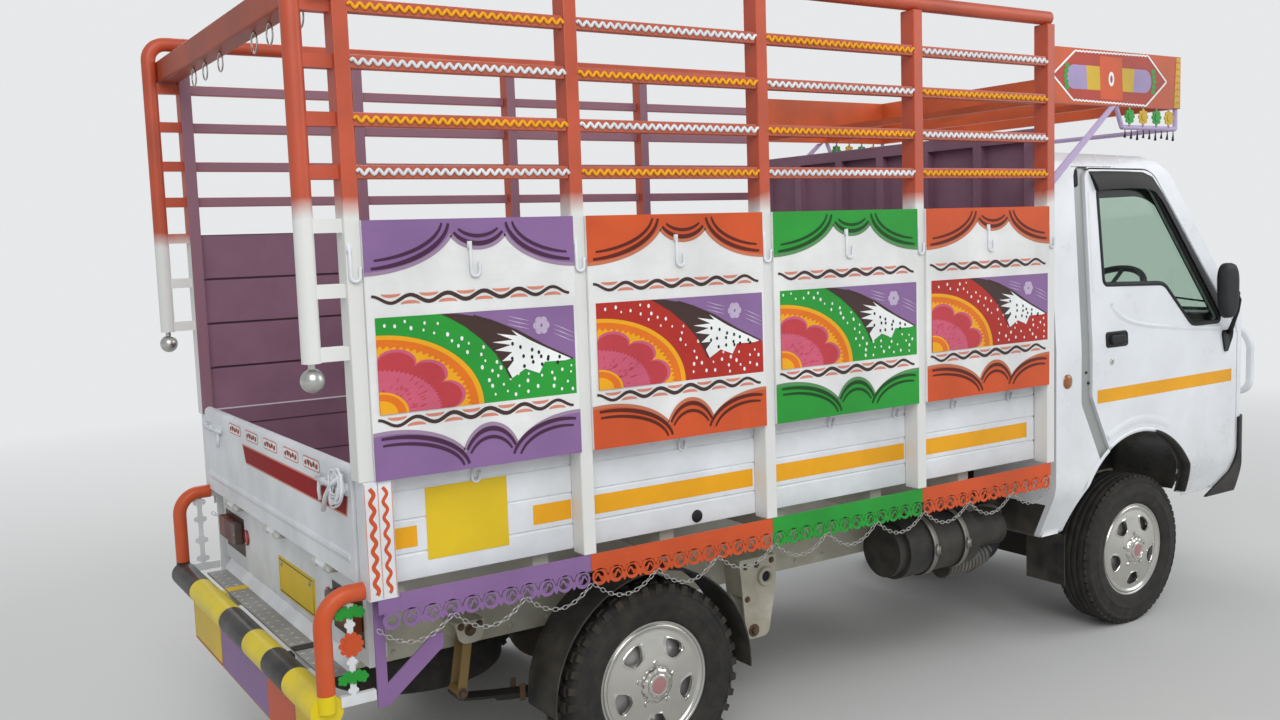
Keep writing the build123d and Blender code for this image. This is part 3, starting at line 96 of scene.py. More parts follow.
class Shader:
    """A node tree being built round one principled shader. x, y and z are places in the row frame."""

    def __init__(self, name):
        self.material = bpy.data.materials.new(name)
        self.material.use_nodes = True
        self.tree = self.material.node_tree
        self.body = self.tree.nodes["Principled BSDF"]
        self.place = self.node("ShaderNodeTexCoord").outputs["Object"]
        split = self.node("ShaderNodeSeparateXYZ")
        self.put(split, {0: self.place})
        self.x, self.y, self.z = (Value(self, socket) for socket in split.outputs)

    def node(self, kind, **settings):
        made = self.tree.nodes.new(kind)
        for key, value in settings.items():
            setattr(made, key, value)
        return made

    def put(self, node, values):
        """Set a node's inputs: a value or socket is linked, a plain number or vector is set there."""
        for key, value in values.items():
            if isinstance(value, Value):
                value = value.socket
            if isinstance(value, bpy.types.NodeSocket):
                self.tree.links.new(value, node.inputs[key])
            else:
                node.inputs[key].default_value = value

    def noise(self, scale, detail=4, stretch=(1, 1, 1)):
        shift = self.node("ShaderNodeMapping")
        self.put(shift, {"Vector": self.place, "Scale": stretch})
        made = self.node("ShaderNodeTexNoise")
        self.put(made, {"Vector": shift.outputs["Vector"], "Scale": scale, "Detail": detail, "Roughness": 0.55})
        return Value(self, made.outputs["Fac"])

    def math(self, operation, a, b=0.0):
        made = self.node("ShaderNodeMath", operation=operation)
        self.put(made, {0: a, 1: b})
        return Value(self, made.outputs[0])

    def mix(self, share, a, b):
        """A colour between a and b."""
        made = self.node("ShaderNodeMix", data_type="RGBA")
        self.put(made, {0: share, 6: self.colour(a), 7: self.colour(b)})
        return Value(self, made.outputs[2])

    def colour(self, value):
        return linear(value) if isinstance(value, tuple) else value

    def bump(self, height, strength, distance):
        made = self.node("ShaderNodeBump")
        self.put(made, {"Strength": strength, "Distance": distance, "Height": height})
        self.put(self.body, {"Normal": made.outputs["Normal"]})

    def finish(self, colour, rough, metal=0.0, coat=0.0, gloss=0.5):
        self.put(self.body, {
            "Base Color": self.colour(colour), "Roughness": rough, "Metallic": metal,
            "Specular IOR Level": gloss, "Coat Weight": coat, "Coat Roughness": 0.18,
        })
        return self.material


def shade(rgb, factor):
    return tuple(min(255, max(0, c * factor)) for c in rgb)


DUST = (150, 140, 122)


def paint(name, rgb, rough=0.46, coat=0.04, mottle=0.06, dust=0.0, brush=0.0, zones=(), gloss=0.3):
    """Enamel with a little mottle, a rising film of road dust, brush marks, and zones of other colours by place."""
    s = Shader(name)
    cloud = s.noise(3.5, 5)
    colour = s.mix(cloud.ramp(0.35, 0.65), shade(rgb, 1 - mottle), shade(rgb, 1 + mottle * 0.6))
    if brush:
        streak = s.noise(60, 3, stretch=(0.25, 1, 3))
        colour = s.mix(streak.ramp(0.5, 0.75) * brush, colour, shade(rgb, 0.72))
    for zone in zones:
        colour = zone(s, colour)
    if dust:
        film = s.z.ramp(1.15, 0.35) * s.noise(9, 6).ramp(0.35, 0.75) * dust
        colour = s.mix(film, colour, DUST)
    s.bump(s.noise(170, 2), 0.04, 0.001)
    return s.finish(colour, cloud * 0.22 + (rough - 0.11), 0, coat, gloss)


def sprayed(name, high, low, inside, level, spread):
    """Posts sprayed with one colour down to a level and left white below, and another colour on their inner faces."""
    s = Shader(name)
    wander = (s.noise(7) - 0.5) * 0.05 + s.y * 0.03
    cloud = s.noise(5)
    tone = s.mix(cloud.ramp(0.3, 0.7), shade(high, 0.92), shade(high, 1.05))
    colour = s.mix((s.z + wander).ramp(level - spread, level + spread), low, tone)
    if inside:
        beside_boards = (s.x > 0.05 - MIDDLE) * (s.z > BOARD_Z[0]) * (s.z < BOARD_Z[1])
        colour = s.mix(s.math("GREATER_THAN", abs(s.y), beside_boards * 0.0405 + inside[1]), inside[0], colour)
    return s.finish(colour, cloud * 0.2 + 0.36, 0, 0.1)


def rubber(name, rgb, dirt):
    """Tyre rubber, browner with road dirt."""
    s = Shader(name)
    colour = s.mix(s.noise(14, 6).ramp(0.3, 0.7), shade(rgb, 0.8), shade(rgb, 1.25))
    colour = s.mix(s.noise(26, 6).ramp(0.4, 0.75) * dirt, colour, (96, 84, 66))
    s.bump(s.noise(240, 3), 0.15, 0.001)
    return s.finish(colour, 0.78)


def metal(name, rgb, rough, shine=1.0, dirt=0.0):
    """Bare or plated metal with smears of dirt."""
    s = Shader(name)
    cloud = s.noise(11, 6)
    return s.finish(s.mix(cloud.ramp(0.45, 0.75) * dirt, rgb, (74, 62, 48)), cloud * 0.25 + (rough - 0.1), shine)


def glass(name, rgb):
    s = Shader(name)
    s.put(s.body, {"Transmission Weight": 1.0, "IOR": 1.15})
    return s.finish(rgb, 0.04)


def fluted(name, low, high):
    """A lamp lens with upright flutes in front of its bright reflector."""
    s = Shader(name)
    s.bump(s.math("SINE", s.y * 620) + s.math("SINE", s.z * 190) * 0.5, 0.5, 0.002)
    return s.finish(s.mix(s.noise(16).ramp(0.35, 0.65), low, high), 0.14, 0.8, 0.9)


def planked(limit, pitch=0.129, start=0.0):
    """Mauve boards with dark seams on all that lies nearer the middle than a limit."""

    def zone(s, colour):
        seam = abs(s.math("FRACT", (s.z - start) / pitch) - 0.5) > 0.478
        board = s.mix(s.noise(4, 5).ramp(0.3, 0.7), (127, 92, 110), (148, 110, 129))
        return s.mix(abs(s.y) < limit, colour, s.mix(seam, board, (74, 51, 62)))

    return zone


def plain_zone(rgb, *tests):
    """A colour where every test of (axis, low, high) holds. Axis D is the distance from the middle plane."""

    def zone(s, colour):
        axes = {"X": s.x, "Y": s.y, "Z": s.z, "D": abs(s.y)}
        share = 1.0
        for letter, low, high in tests:
            shift = MIDDLE if letter == "X" else 0
            if low is not None:
                share = (axes[letter] > low - shift) * share
            if high is not None:
                share = (axes[letter] < high - shift) * share
        return s.mix(share, colour, rgb)

    return zone


# The cab's side leans in above one level and below another
WAIST_Z, LEAN_HIGH = 1.180, 0.0612
HEM_Z, LEAN_LOW = 0.640, 0.4293
# Lines of the cab's front inside its wall: station, height and the line's outward direction
FRONT_LINES = ((3.395, 1.910, 0.785, 0.619), (3.955, 1.200, 0.936, 0.351), (4.045, 0.960, 0.996, 0.093))


def lean_depth(s):
    """Distance from the middle plane, measured as if the cab's side were upright."""
    high = s.math("MAXIMUM", s.z - WAIST_Z, 0.0) * LEAN_HIGH
    low = s.math("MAXIMUM", HEM_Z - s.z, 0.0) * LEAN_LOW
    return abs(s.y) + high + low


def cab_zones(s, colour):
    """Painted shade in the door jamb, grey lining inside the cab, dark wheel arches and a dark underside."""
    x, z, lean = s.x, s.z, lean_depth(s)
    # Painted shade: the recessed door jamb behind the door is coloured a darker grey, as if it lay in shade.
    jamb = (lean < 0.7812) * (x > 2.830 - MIDDLE) * (x < 3.075 - MIDDLE) * (z > 0.715) * (z < 1.870)
    colour = s.mix(jamb, colour, (150, 152, 151))
    corner = (x - (3.960 - MIDDLE)) * 0.918 + (lean - 0.785) * 0.397
    inside = (corner < -0.034) * (lean < 0.7465) * (x > 2.7225 - MIDDLE) * (z < 1.889) * (z > 0.606)
    for x0, z0, nx, nz in FRONT_LINES:
        inside = inside * ((x - (x0 - MIDDLE)) * nx + (z - z0) * nz < -0.032)
    colour = s.mix(inside, colour, (104, 102, 98))
    reach = (x - (ARCH[0] - MIDDLE)) ** 2.0 + (z - ARCH[1]) ** 2.0
    colour = s.mix((reach < 0.3862 ** 2) * (abs(s.y) < 0.7838), colour, (52, 53, 54))
    colour = s.mix((z < 0.585) * (lean < 0.7600), colour, (56, 55, 53))
    return s.mix((z < 0.796) * (x > 3.902 - MIDDLE), colour, (34, 34, 35))


def door_zones(s, colour):
    """A dark card on the door's inner face."""
    return s.mix(lean_depth(s) < 0.7555, colour, (70, 70, 72))


ENAMEL = (226, 229, 232)
CAB_TONE = (230, 233, 236)
CAB_LOOK = {"rough": 0.30, "coat": 0.35, "mottle": 0.03, "dust": 0.3, "gloss": 0.45}
PIPE_BLACK = (30, 28, 27)
HOOP_FOOT = 0.545
WHITE = paint("white_enamel", ENAMEL, dust=0.35)
CAB_WHITE = paint("cab_enamel", CAB_TONE, **CAB_LOOK)
CAB_SHELL = paint("cab_shell", CAB_TONE, zones=(cab_zones,), **CAB_LOOK)
DOOR_SHELL = paint("door_shell", CAB_TONE, zones=(door_zones,), **CAB_LOOK)
TRAY_WHITE = paint("tray_enamel", ENAMEL, dust=0.35, zones=(planked(0.7455),))
GATE_WHITE = paint("gate_enamel", ENAMEL, dust=0.3, zones=(plain_zone((137, 100, 119), ("X", -0.0013, None)),))
FLOOR_COAT = paint(
    "floor_enamel", (196, 194, 184), dust=0.5, zones=(plain_zone((133, 97, 114), ("Z", 0.8022, None)),)
)
BOARD_WHITE = paint("board_enamel", (228, 228, 226), brush=0.06, zones=(planked(0.8337, 0.16125, BOARD_Z[0]),))
FRAME_CREAM = paint("frame_cream", (188, 186, 170), rough=0.55, coat=0, mottle=0.12, dust=0.8)
SPRING_STEEL = paint("spring_steel", (46, 44, 42), rough=0.62, coat=0, mottle=0.15, zones=(
    plain_zone((128, 106, 66), ("X", 0.335, 0.425), ("Z", 0.330, 0.530)),
))
DARK_STEEL = metal("dark_steel", (46, 44, 42), 0.62, 0.3, 0.5)
IRON = metal("iron", (62, 56, 50), 0.66, 0.4, 0.7)
BLACK = paint("black_plastic", (34, 35, 37), rough=0.55, coat=0, mottle=0.15, dust=0.25)
MAUVE = paint("mauve_enamel", (136, 100, 118), rough=0.45, mottle=0.08, brush=0.12)
PURPLE = paint("purple_enamel", (137, 103, 152), mottle=0.05, brush=0.05)
ORANGE = paint("orange_enamel", (206, 84, 40), brush=0.06)
GREEN = paint("green_enamel", (38, 152, 52), brush=0.06)
RED = paint("red_enamel", (178, 44, 34), brush=0.08)
YELLOW = paint("yellow_enamel", (238, 168, 22), mottle=0.05)
PLATE_YELLOW = paint("plate_yellow", (224, 190, 34), mottle=0.05)
LAVENDER = paint("lavender_enamel", (182, 164, 200), mottle=0.05)
OXIDE = sprayed("oxide_spray", (192, 82, 52), (222, 222, 218), ((142, 101, 116), 0.7862), 1.725, 0.026)
RAIL_PAINT = sprayed("rail_paint", (186, 92, 66), (186, 92, 66), ((148, 106, 120), 0.8168), 0.5, 0.02)
TUBE_PAINT = sprayed("tube_paint", (190, 80, 50), (226, 226, 222), None, 1.725, 0.026)
BEAM_PAINT = paint("beam_paint", (176, 78, 48), rough=0.5, coat=0.1, mottle=0.1)
HOOP_STRIPE = paint("pipe_stripes", (228, 204, 22), rough=0.4, dust=0.25, zones=(
    plain_zone(PIPE_BLACK, ("Y", 0.52, None)),
    plain_zone(PIPE_BLACK, ("Y", -0.15, 0.12)),
    plain_zone(PIPE_BLACK, ("Y", -0.55, -0.35)),
    plain_zone((206, 84, 40), ("Z", HOOP_FOOT, None)),
    plain_zone((214, 214, 210), ("X", -0.096, None), ("Z", None, HOOP_FOOT)),
))
CROWN_PAINT = paint(
    "crown_enamel", (196, 88, 48), mottle=0.1, zones=(plain_zone((182, 164, 200), ("Z", None, 2.0893)),)
)
LAMP_COLOURS = paint("tail_lamp", (92, 20, 17), rough=0.4, coat=0.05, gloss=0.25, zones=(
    plain_zone((118, 62, 24), ("D", 0.628, None), ("X", None, -0.004)),
    plain_zone((88, 76, 70), ("D", None, 0.536), ("X", None, -0.004)),
))
SMOKE = paint("smoked_visor", (20, 18, 19), rough=0.42, coat=0.0, mottle=0.05, gloss=0.22)
MIRROR = metal("mirror_glass", (210, 214, 218), 0.14)
CHROME = metal("chrome", (208, 206, 200), 0.16, dirt=0.08)
STEEL = metal("bright_steel", (196, 196, 192), 0.3, dirt=0.1)
TYRE = rubber("tyre_rubber", (30, 29, 28), 0.22)
TREAD = rubber("tread_rubber", (32, 31, 28), 0.34)
GLASS = glass("tinted_glass", (208, 222, 213))
CLEAR = fluted("lamp_lens", (178, 182, 184), (226, 229, 230))
LAMP_RED = paint("lamp_red", (150, 22, 18), rough=0.2, coat=0.8)
LAMP_AMBER = paint("lamp_amber", (206, 110, 24), rough=0.2, coat=0.8)
VINYL = paint("seat_vinyl", (52, 52, 56), rough=0.6, coat=0, mottle=0.1)
FLOOR_GREY = paint("deck_grey", (150, 150, 148), rough=0.6, coat=0, mottle=0.12, dust=0.4)

COATS = (
    (FRAME_CREAM, "chassis_frame cross_members"),
    (SPRING_STEEL, "rear_springs"),
    (IRON, "rear_axle engine knuckle_left knuckle_right"),
    (DARK_STEEL, "exhaust fuel_tank front_suspension"),
    (BLACK, "air_cleaner front_bumper dashboard steering_wheel door_trim_right door_trim_left mudguards"),
    (TYRE, "spare_wheel tyre_rl tyre_rr tyre_fl tyre_fr"),
    (CHROME, "wheel_rl wheel_rr wheel_fl wheel_fr"),
    (CAB_SHELL, "cab_body"),
    (DOOR_SHELL, "door_right door_left"),
    (GLASS, "cab_glass door_glass_right door_glass_left"),
    (CLEAR, "headlamps"),
    (VINYL, "seats"),
    (WHITE, "front_guard corner_boards rope_hooks rear_panel hoop_ornaments"),
    (FLOOR_COAT, "load_floor"),
    (TRAY_WHITE, "tray_sides"),
    (MAUVE, "headboard"),
    (GATE_WHITE, "tailgate"),
    (BOARD_WHITE, "side_boards"),
    (OXIDE, "cage_posts"),
    (RAIL_PAINT, "cage_rails"),
    (TUBE_PAINT, "ladder_tubes"),
    (BEAM_PAINT, "rear_beam"),
    (STEEL, "cage_ornaments chain_swags"),
    (CROWN_PAINT, "crown_box"),
    (PURPLE, "side_skirts"),
    (HOOP_STRIPE, "rear_bumper"),
    (FLOOR_GREY, "step_deck"),
    (LAMP_COLOURS, "tail_lamps"),
    (PLATE_YELLOW, "rear_plates"),
)
for coat, names in COATS:
    for name in names.split():
        nodes[name].data.materials.clear()
        nodes[name].data.materials.append(coat)


# Meshes, in the row frame, that ride on a body
def at(x, y, z):
    """A station, side and height as a point of the row frame."""
    return Vector((x - MIDDLE, y, z))


def turns(count):
    """The angles of a full circle in equal steps."""
    return [2 * pi * k / count for k in range(count)]


def reading(rows, place):
    """The second column at a place in the first, straight from row to row."""
    for (a0, b0), (a1, b1) in zip(rows, rows[1:]):
        if place <= a1:
            return b0 + (b1 - b0) * (place - a0) / (a1 - a0)
    return rows[-1][1]


def show(name, mesh, coat, body="root", slot=None, smooth=False, stands_for=()):
    """A mesh as a piece that rides on a body."""
    piece = bpy.data.objects.new(name, mesh)
    bpy.context.scene.collection.objects.link(piece)
    mesh.materials.append(coat)
    for face in mesh.polygons:
        face.use_smooth = smooth
    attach(piece, body)
    if stands_for:
        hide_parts(*stands_for)
    return piece


def lattice(rows, width, loop=False, ring=True):
    """Quads over rows of points. loop joins the last row to the first, ring joins each row's two ends."""
    faces = []
    for i in range(rows if loop else rows - 1):
        j = (i + 1) % rows
        for k in range(width if ring else width - 1):
            m = (k + 1) % width
            faces.append((i * width + k, i * width + m, j * width + m, j * width + k))
    return faces


def winding(points):
    """Twice the area inside an outline, positive where it runs anticlockwise."""
    return sum(a[0] * b[1] - b[0] * a[1] for a, b in zip(points, points[1:] + points[:1]))


class Heap:
    """Faces gathered before they become one piece."""

    def __init__(self):
        self.verts = []
        self.faces = []

    def add(self, verts, faces):
        base = len(self.verts)
        self.verts += [tuple(v) for v in verts]
        self.faces += [[base + i for i in face] for face in faces]

    def polygon(self, points):
        self.add(points, [range(len(points))])

    def box(self, low, high):
        x, y, z = zip(low, high)
        corners = [at(x[i & 1], y[i >> 1 & 1], z[i >> 2 & 1]) for i in range(8)]
        self.add(corners, [(0, 2, 3, 1), (4, 5, 7, 6), (0, 1, 5, 4), (2, 6, 7, 3), (0, 4, 6, 2), (1, 3, 7, 5)])

    def stitch(self, rings):
        """Bands between closed rings, each band with its own points."""
        for near, far in zip(rings, rings[1:]):
            self.add(near + far, lattice(2, len(near)))

    def bar(self, low, high, rows, ring=True):
        """A bar across the truck from its section's rows of (station, height). ring walls up its open side."""
        count = len(rows)
        ends = [range(count - 1, -1, -1), range(count, 2 * count)]
        self.add([at(x, y, z) for y in (low, high) for x, z in rows], lattice(2, count, ring=ring) + ends)

    def tube(self, path, radius, sides=10, closed=False, caps=True):
        """A round bar along a path of row frame points. radius may be one value or one for each point."""
        count = len(path)
        radii = radius if isinstance(radius, (list, tuple)) else [radius] * count
        verts = []
        up = None
        for i, (point, r) in enumerate(zip(path, radii)):
            before = path[(i - 1) % count] if closed or i else path[0]
            after = path[(i + 1) % count] if closed or i < count - 1 else path[-1]
            along = (after - before).normalized()
            up = up or along.orthogonal().normalized()
            up = (up - along * up.dot(along)).normalized()
            across = along.cross(up)
            verts += [point + (up * cos(a) + across * sin(a)) * r for a in turns(sides)]
        faces = lattice(count, sides, closed)
        if caps and not closed:
            faces += [tuple(reversed(range(sides))), tuple((count - 1) * sides + k for k in range(sides))]
        self.add(verts, faces)

    def turned(self, rows, centre, axis, sides=32):
        """A surface turned about an axis, from rows of (radius, distance along the axis)."""
        axis = Vector(axis).normalized()
        u = axis.orthogonal().normalized()
        w = axis.cross(u)
        verts = [centre + axis * d + (u * cos(a) + w * sin(a)) * r for r, d in rows for a in turns(sides)]
        self.add(verts, lattice(len(rows), sides))

    def knob(self, rows, x, out, z, side, sides):
        """A turned shape that faces outward at a station, a distance from the middle and a height."""
        self.turned(rows, at(x, side * out, z), (0, side, 0), sides)

    def make(self, name, coat, body="root", slot=None, smooth=False, stands_for=()):
        mesh = bpy.data.meshes.new(name)
        mesh.from_pydata(self.verts, [], self.faces)
        mesh.update()
        return show(name, mesh, coat, body, slot, smooth, stands_for)


# Outlines in (station, height), or in (side, height) on a face that looks forward or backward
def facing(placed, points, forward):
    """An outline's placed points, turned round unless it winds as asked."""
    return placed if (winding(points) > 0) == forward else placed[::-1]


def rect(x0, z0, x1, z1):
    return [(x0, z0), (x1, z0), (x1, z1), (x0, z1)]


def oval(cx, cz, rx, rz, count):
    return [(cx + rx * cos(a), cz + rz * sin(a)) for a in turns(count)]


def arc(cx, cz, radius, start, end, count=24):
    angles = [radians(start + (end - start) * i / count) for i in range(count + 1)]
    return [(cx + radius * cos(a), cz + radius * sin(a)) for a in angles]


def normals(points, closed):
    """Each point of a path in a plane, with the direction to its left."""
    last = len(points) - 1
    for i, (u, v) in enumerate(points):
        a = points[i - 1] if closed or i else points[0]
        b = points[(i + 1) % len(points)] if closed or i < last else points[-1]
        du, dv = b[0] - a[0], b[1] - a[1]
        length = hypot(du, dv) or 1
        yield u, v, -dv / length, du / length


def stroke(points, width, taper=0.0):
    """A brush stroke along points, as quads. taper thins both ends."""
    edges = []
    for i, (x, z, nx, nz) in enumerate(normals(points, False)):
        half = width / 2 * (1 - taper * abs(2 * i / (len(points) - 1) - 1) ** 2)
        edges.append(((x + nx * half, z + nz * half), (x - nx * half, z - nz * half)))
    return [[a, b, d, c] for (a, b), (c, d) in zip(edges, edges[1:])]


def rounded(rows, steps=6):
    """An outline with its corners rounded, from rows of (station, height, radius)."""
    points = []
    for i, (x, z, radius) in enumerate(rows):
        here = Vector((x, z))
        a = (Vector(rows[i - 1][:2]) - here).normalized()
        b = (Vector(rows[(i + 1) % len(rows)][:2]) - here).normalized()
        half = a.angle(b) / 2
        cut = radius / (sin(half) / cos(half))
        middle = here + (a + b).normalized() * (radius / sin(half))
        start, end = here + a * cut - middle, here + b * cut - middle
        angle = atan2(start.y, start.x)
        swing = (atan2(end.y, end.x) - angle + pi) % (2 * pi) - pi
        for k in range(steps + 1):
            turn = angle + swing * k / steps
            points.append((middle.x + radius * cos(turn), middle.y + radius * sin(turn)))
    return points


def soft_rect(x0, z0, x1, z1, radius, steps=6):
    return rounded([(x, z, radius) for x, z in ((x0, z0), (x0, z1), (x1, z1), (x1, z0))], steps)


def prism(heap, points, side, near, far):
    """A flat plate from an outline in (station, height), between two distances from the middle."""
    count = len(points)
    plates = [at(x, side * y, z) for y in (far, near) for x, z in points]
    heap.add(plates, [range(count), range(2 * count - 1, count - 1, -1)] + lattice(2, count))


def washer(heap, cx, cz, outer, inner, shift, side, near, far, count=18):
    """A flat ring with its hole set off centre."""
    loops = []
    for y in (far, near):
        for radius, dx, dz in ((outer, 0, 0), (inner, *shift)):
            loops += [at(x, side * y, z) for x, z in oval(cx + dx, cz + dz, radius, radius, count)]
    faces = []
    for i in range(count):
        j = (i + 1) % count
        for a, b in ((0, 1), (1, 3), (3, 2), (2, 0)):
            faces.append((a * count + i, a * count + j, b * count + j, b * count + i))
    heap.add(loops, faces)


def petals(heap, cx, cz, radius, count, side, near, far, notch=0.30):
    """A flat flower cut from sheet."""
    points = []
    for a in turns(count * 8):
        r = radius * (1 - notch + notch * abs(cos(count * a / 2)) ** 0.6)
        points.append((cx + r * cos(a), cz + r * sin(a)))
    prism(heap, points, side, near, far)


def bolt(heap, place, axis, radius, height, washer_r=None):
    """A hexagon head on a washer."""
    ring = washer_r or radius * 1.5
    top = height * 1.15
    heap.turned(((ring, 0.0), (ring, 0.0015), (0.0, 0.0015)), place, axis, 16)
    heap.turned(((radius, 0.0015), (radius, height), (radius * 0.8, top), (0.0, top)), place, axis, 6)


def skin(z):
    """How far out the cab's side stands at a height."""
    return 0.785 - max(0.0, HEM_Z - z) * LEAN_LOW - max(0.0, z - WAIST_Z) * LEAN_HIGH


def ribbon(heap, points, side, profile, closed=True):
    """A moulding on the cab's side. profile gives (distance outward, or left of an open path, and lift)."""
    if closed and winding(points) > 0:
        points = points[::-1]
    verts = []
    for x, z, nx, nz in normals(points, closed):
        verts += [at(x + nx * d, side * (skin(z + nz * d) + lift), z + nz * d) for d, lift in profile]
    heap.add(verts, lattice(len(points), len(profile), closed, False))


def skin_patch(heap, points, side, lift):
    """A flat shape laid on the cab's side."""
    heap.polygon(facing([at(x, side * (skin(z) + lift), z) for x, z in points], points, side < 0))


class Canvas:
    """Painted shapes on the truck's side faces, kept by colour, with each layer one coat further out."""

    def __init__(self, out, ways=SIDES, body="root"):
        self.out, self.ways, self.body = out, ways, body
        self.heaps = {}

    def lay(self, points, way, lift):
        return facing([at(x, way * (self.out + lift), z) for x, z in points], points, way < 0)

    def fill(self, coat, points, layer=1):
        heap = self.heaps.setdefault(coat.name, (coat, Heap()))[1]
        for way in self.ways:
            heap.polygon(self.lay(points, way, layer * PAINT))

    def line(self, coat, points, width, layer=1, taper=0.0):
        for quad in stroke(points, width, taper):
            self.fill(coat, quad, layer)

    def make(self, name, slot):
        for coat_name, (coat, heap) in self.heaps.items():
            heap.make(f"{name}_{coat_name}", coat, self.body, slot)


class Board(Canvas):
    """Painted shapes on a face that looks backward (way -1) or forward (way 1): outlines in (side, height)."""

    def __init__(self, out, way=-1, body="root"):
        super().__init__(out, (way,), body)

    def lay(self, points, way, lift):
        return facing([at(self.out + way * lift, y, z) for y, z in points], points, way > 0)


# Board paintings: scalloped valances, wavy lines and a flower rising beside a feathered plume
INK = {
    "purple": (PURPLE, paint("purple_dark", (72, 36, 66)), paint("purple_pale", (158, 134, 160))),
    "orange": (ORANGE, paint("orange_dark", (92, 30, 16)), paint("orange_pale", (196, 116, 84))),
    "green": (GREEN, paint("green_dark", (14, 70, 18)), paint("green_pale", (92, 140, 92))),
}
FIELD = {"green": GREEN, "red": RED}
BROWN = paint("brown_enamel", (66, 46, 42))
SALMON = paint("salmon_enamel", (214, 134, 112), brush=0.2)
PINK = paint("pink_enamel", (206, 92, 118), brush=0.2)
ROSE = paint("rose_enamel", (192, 62, 70), brush=0.15)
FLAME = paint("flame_enamel", (228, 116, 26), brush=0.15)
PAPER = paint("paper_white", (238, 240, 238))
SOOT = paint("soot_black", (26, 24, 24))
MIST = paint("mist_lilac", (192, 176, 202))
BAY_COLOURS = (("purple", "green"), ("orange", "red"), ("green", "green"), ("orange", "red"))
SEED = random.Random(7)
# Valance curves: centre along the board, half width, height, and where each starts and ends
HUNG = ((-0.02, 0.435, 0.205, 0.0, 0.396), (0.524, 0.153, 0.118, 0.396, 0.652), (1.02, 0.388, 0.20, 0.652, 1.0))
HUNG_LINES = (
    (-0.02, 0.407, 0.186, 0.030, 0.385), (-0.02, 0.376, 0.156, 0.045, 0.354),
    (0.524, 0.138, 0.100, 0.408, 0.640), (0.524, 0.116, 0.070, 0.430, 0.618),
    (1.02, 0.364, 0.178, 0.658, 0.975), (1.02, 0.332, 0.149, 0.690, 0.960),
)
STOOD = ((0.08, 0.365, 0.184, 0.0, 0.410), (0.541, 0.1435, 0.172, 0.410, 0.672), (0.985, 0.342, 0.18, 0.672, 1.0))
STOOD_LINES = (
    (0.08, 0.354, 0.163, 0.035, 0.431), (0.08, 0.329, 0.136, 0.040, 0.406),
    (0.541, 0.136, 0.152, 0.424, 0.661), (0.541, 0.118, 0.118, 0.440, 0.642),
    (0.905, 0.262, 0.155, 0.650, 0.975), (0.905, 0.228, 0.126, 0.684, 0.962),
)
# The picture between the wavy lines: its left, right, lower and upper edge as shares of the board
PICTURE = (0.035, 0.985, 0.257, 0.629)
# The flower's rings: reach along and up, wave of the edge, steps, colour
FLOWER = (
    (0.505, 0.82, None, 45, YELLOW), (0.478, 0.775, None, 45, FLAME), (0.445, 0.715, "flames", 90, YELLOW),
    (0.425, 0.685, "lobes", 60, PINK), (0.405, 0.65, "lobes", 60, ROSE), (0.30, 0.47, "flames", 90, PINK),
)
BUD = ((0.135, 0.235, None, 45, YELLOW), (0.122, 0.212, None, 45, FLAME), (0.085, 0.15, "flames", 40, YELLOW))
RIDGE = [(0.31, 1.0), (0.39, 0.992), (0.47, 0.955), (0.56, 0.885), (0.69, 0.755), (0.83, 0.57), (0.985, 0.395)]
BELLY = [(0.80, 0.45), (0.645, 0.24), (0.615, 0.38), (0.572, 0.535), (0.505, 0.70), (0.425, 0.85), (0.36, 0.94)]
FEATHERS = (
    (0.975, 0.40), (0.945, 0.385), (0.83, 0.39), (0.80, 0.268), (0.725, 0.335), (0.655, 0.245), (0.632, 0.35),
    (0.668, 0.44), (0.605, 0.44), (0.660, 0.53), (0.572, 0.565), (0.655, 0.61), (0.560, 0.655), (0.665, 0.665),
    (0.585, 0.745), (0.69, 0.705), (0.66, 0.775), (0.76, 0.64), (0.86, 0.525),
)
WAVES = {
    None: lambda a: 1.0,
    "flames": lambda a: 0.94 + 0.06 * abs(((a * 26) % 2) - 1),
    "lobes": lambda a: 0.84 + 0.16 * abs(sin(6 * a)) ** 0.55,
}


def wavy(canvas, place, level, start=0.025, end=0.965, waves=5.5):
    """A dark wavy line with small salmon arcs in its bends."""
    shares = [i / 66 for i in range(67)]
    points = [place(start + (end - start) * t, level + 0.0145 * cos(2 * pi * waves * t)) for t in shares]
    canvas.line(BROWN, points, 0.0108, 3, 0.35)
    for k in range(int(2 * waves) - 1):
        u = start + (end - start) * (k + 1) / (2 * waves)
        lift = -1 if k % 2 else 1
        shape = []
        for way, height, dip in ((-1, 0.020, 0.014), (1, 0.022, 0.003)):
            for i in range(9):
                a = pi * i / 8
                shape.append(place(u + way * 0.043 * cos(a), level + lift * (height - dip * sin(a))))
        canvas.fill(SALMON, shape, 2)


def in_the_open(s, t):
    """Whether a white dot at a place in the picture stays clear of the flower and the plume."""
    if hypot(s / 0.505, t / 0.82) <= 1.1:
        return False
    if s >= 0.60:
        return t < 0.34 if s >= 0.86 else t < 0.30 or s <= 0.60
    ridge = 1.0 - 1.05 * max(0, s - 0.26) ** 1.15
    return t < ridge - 0.12 * (s > 0.3) and not (s > 0.3 and t > 0.97 - 1.35 * (s - 0.28))


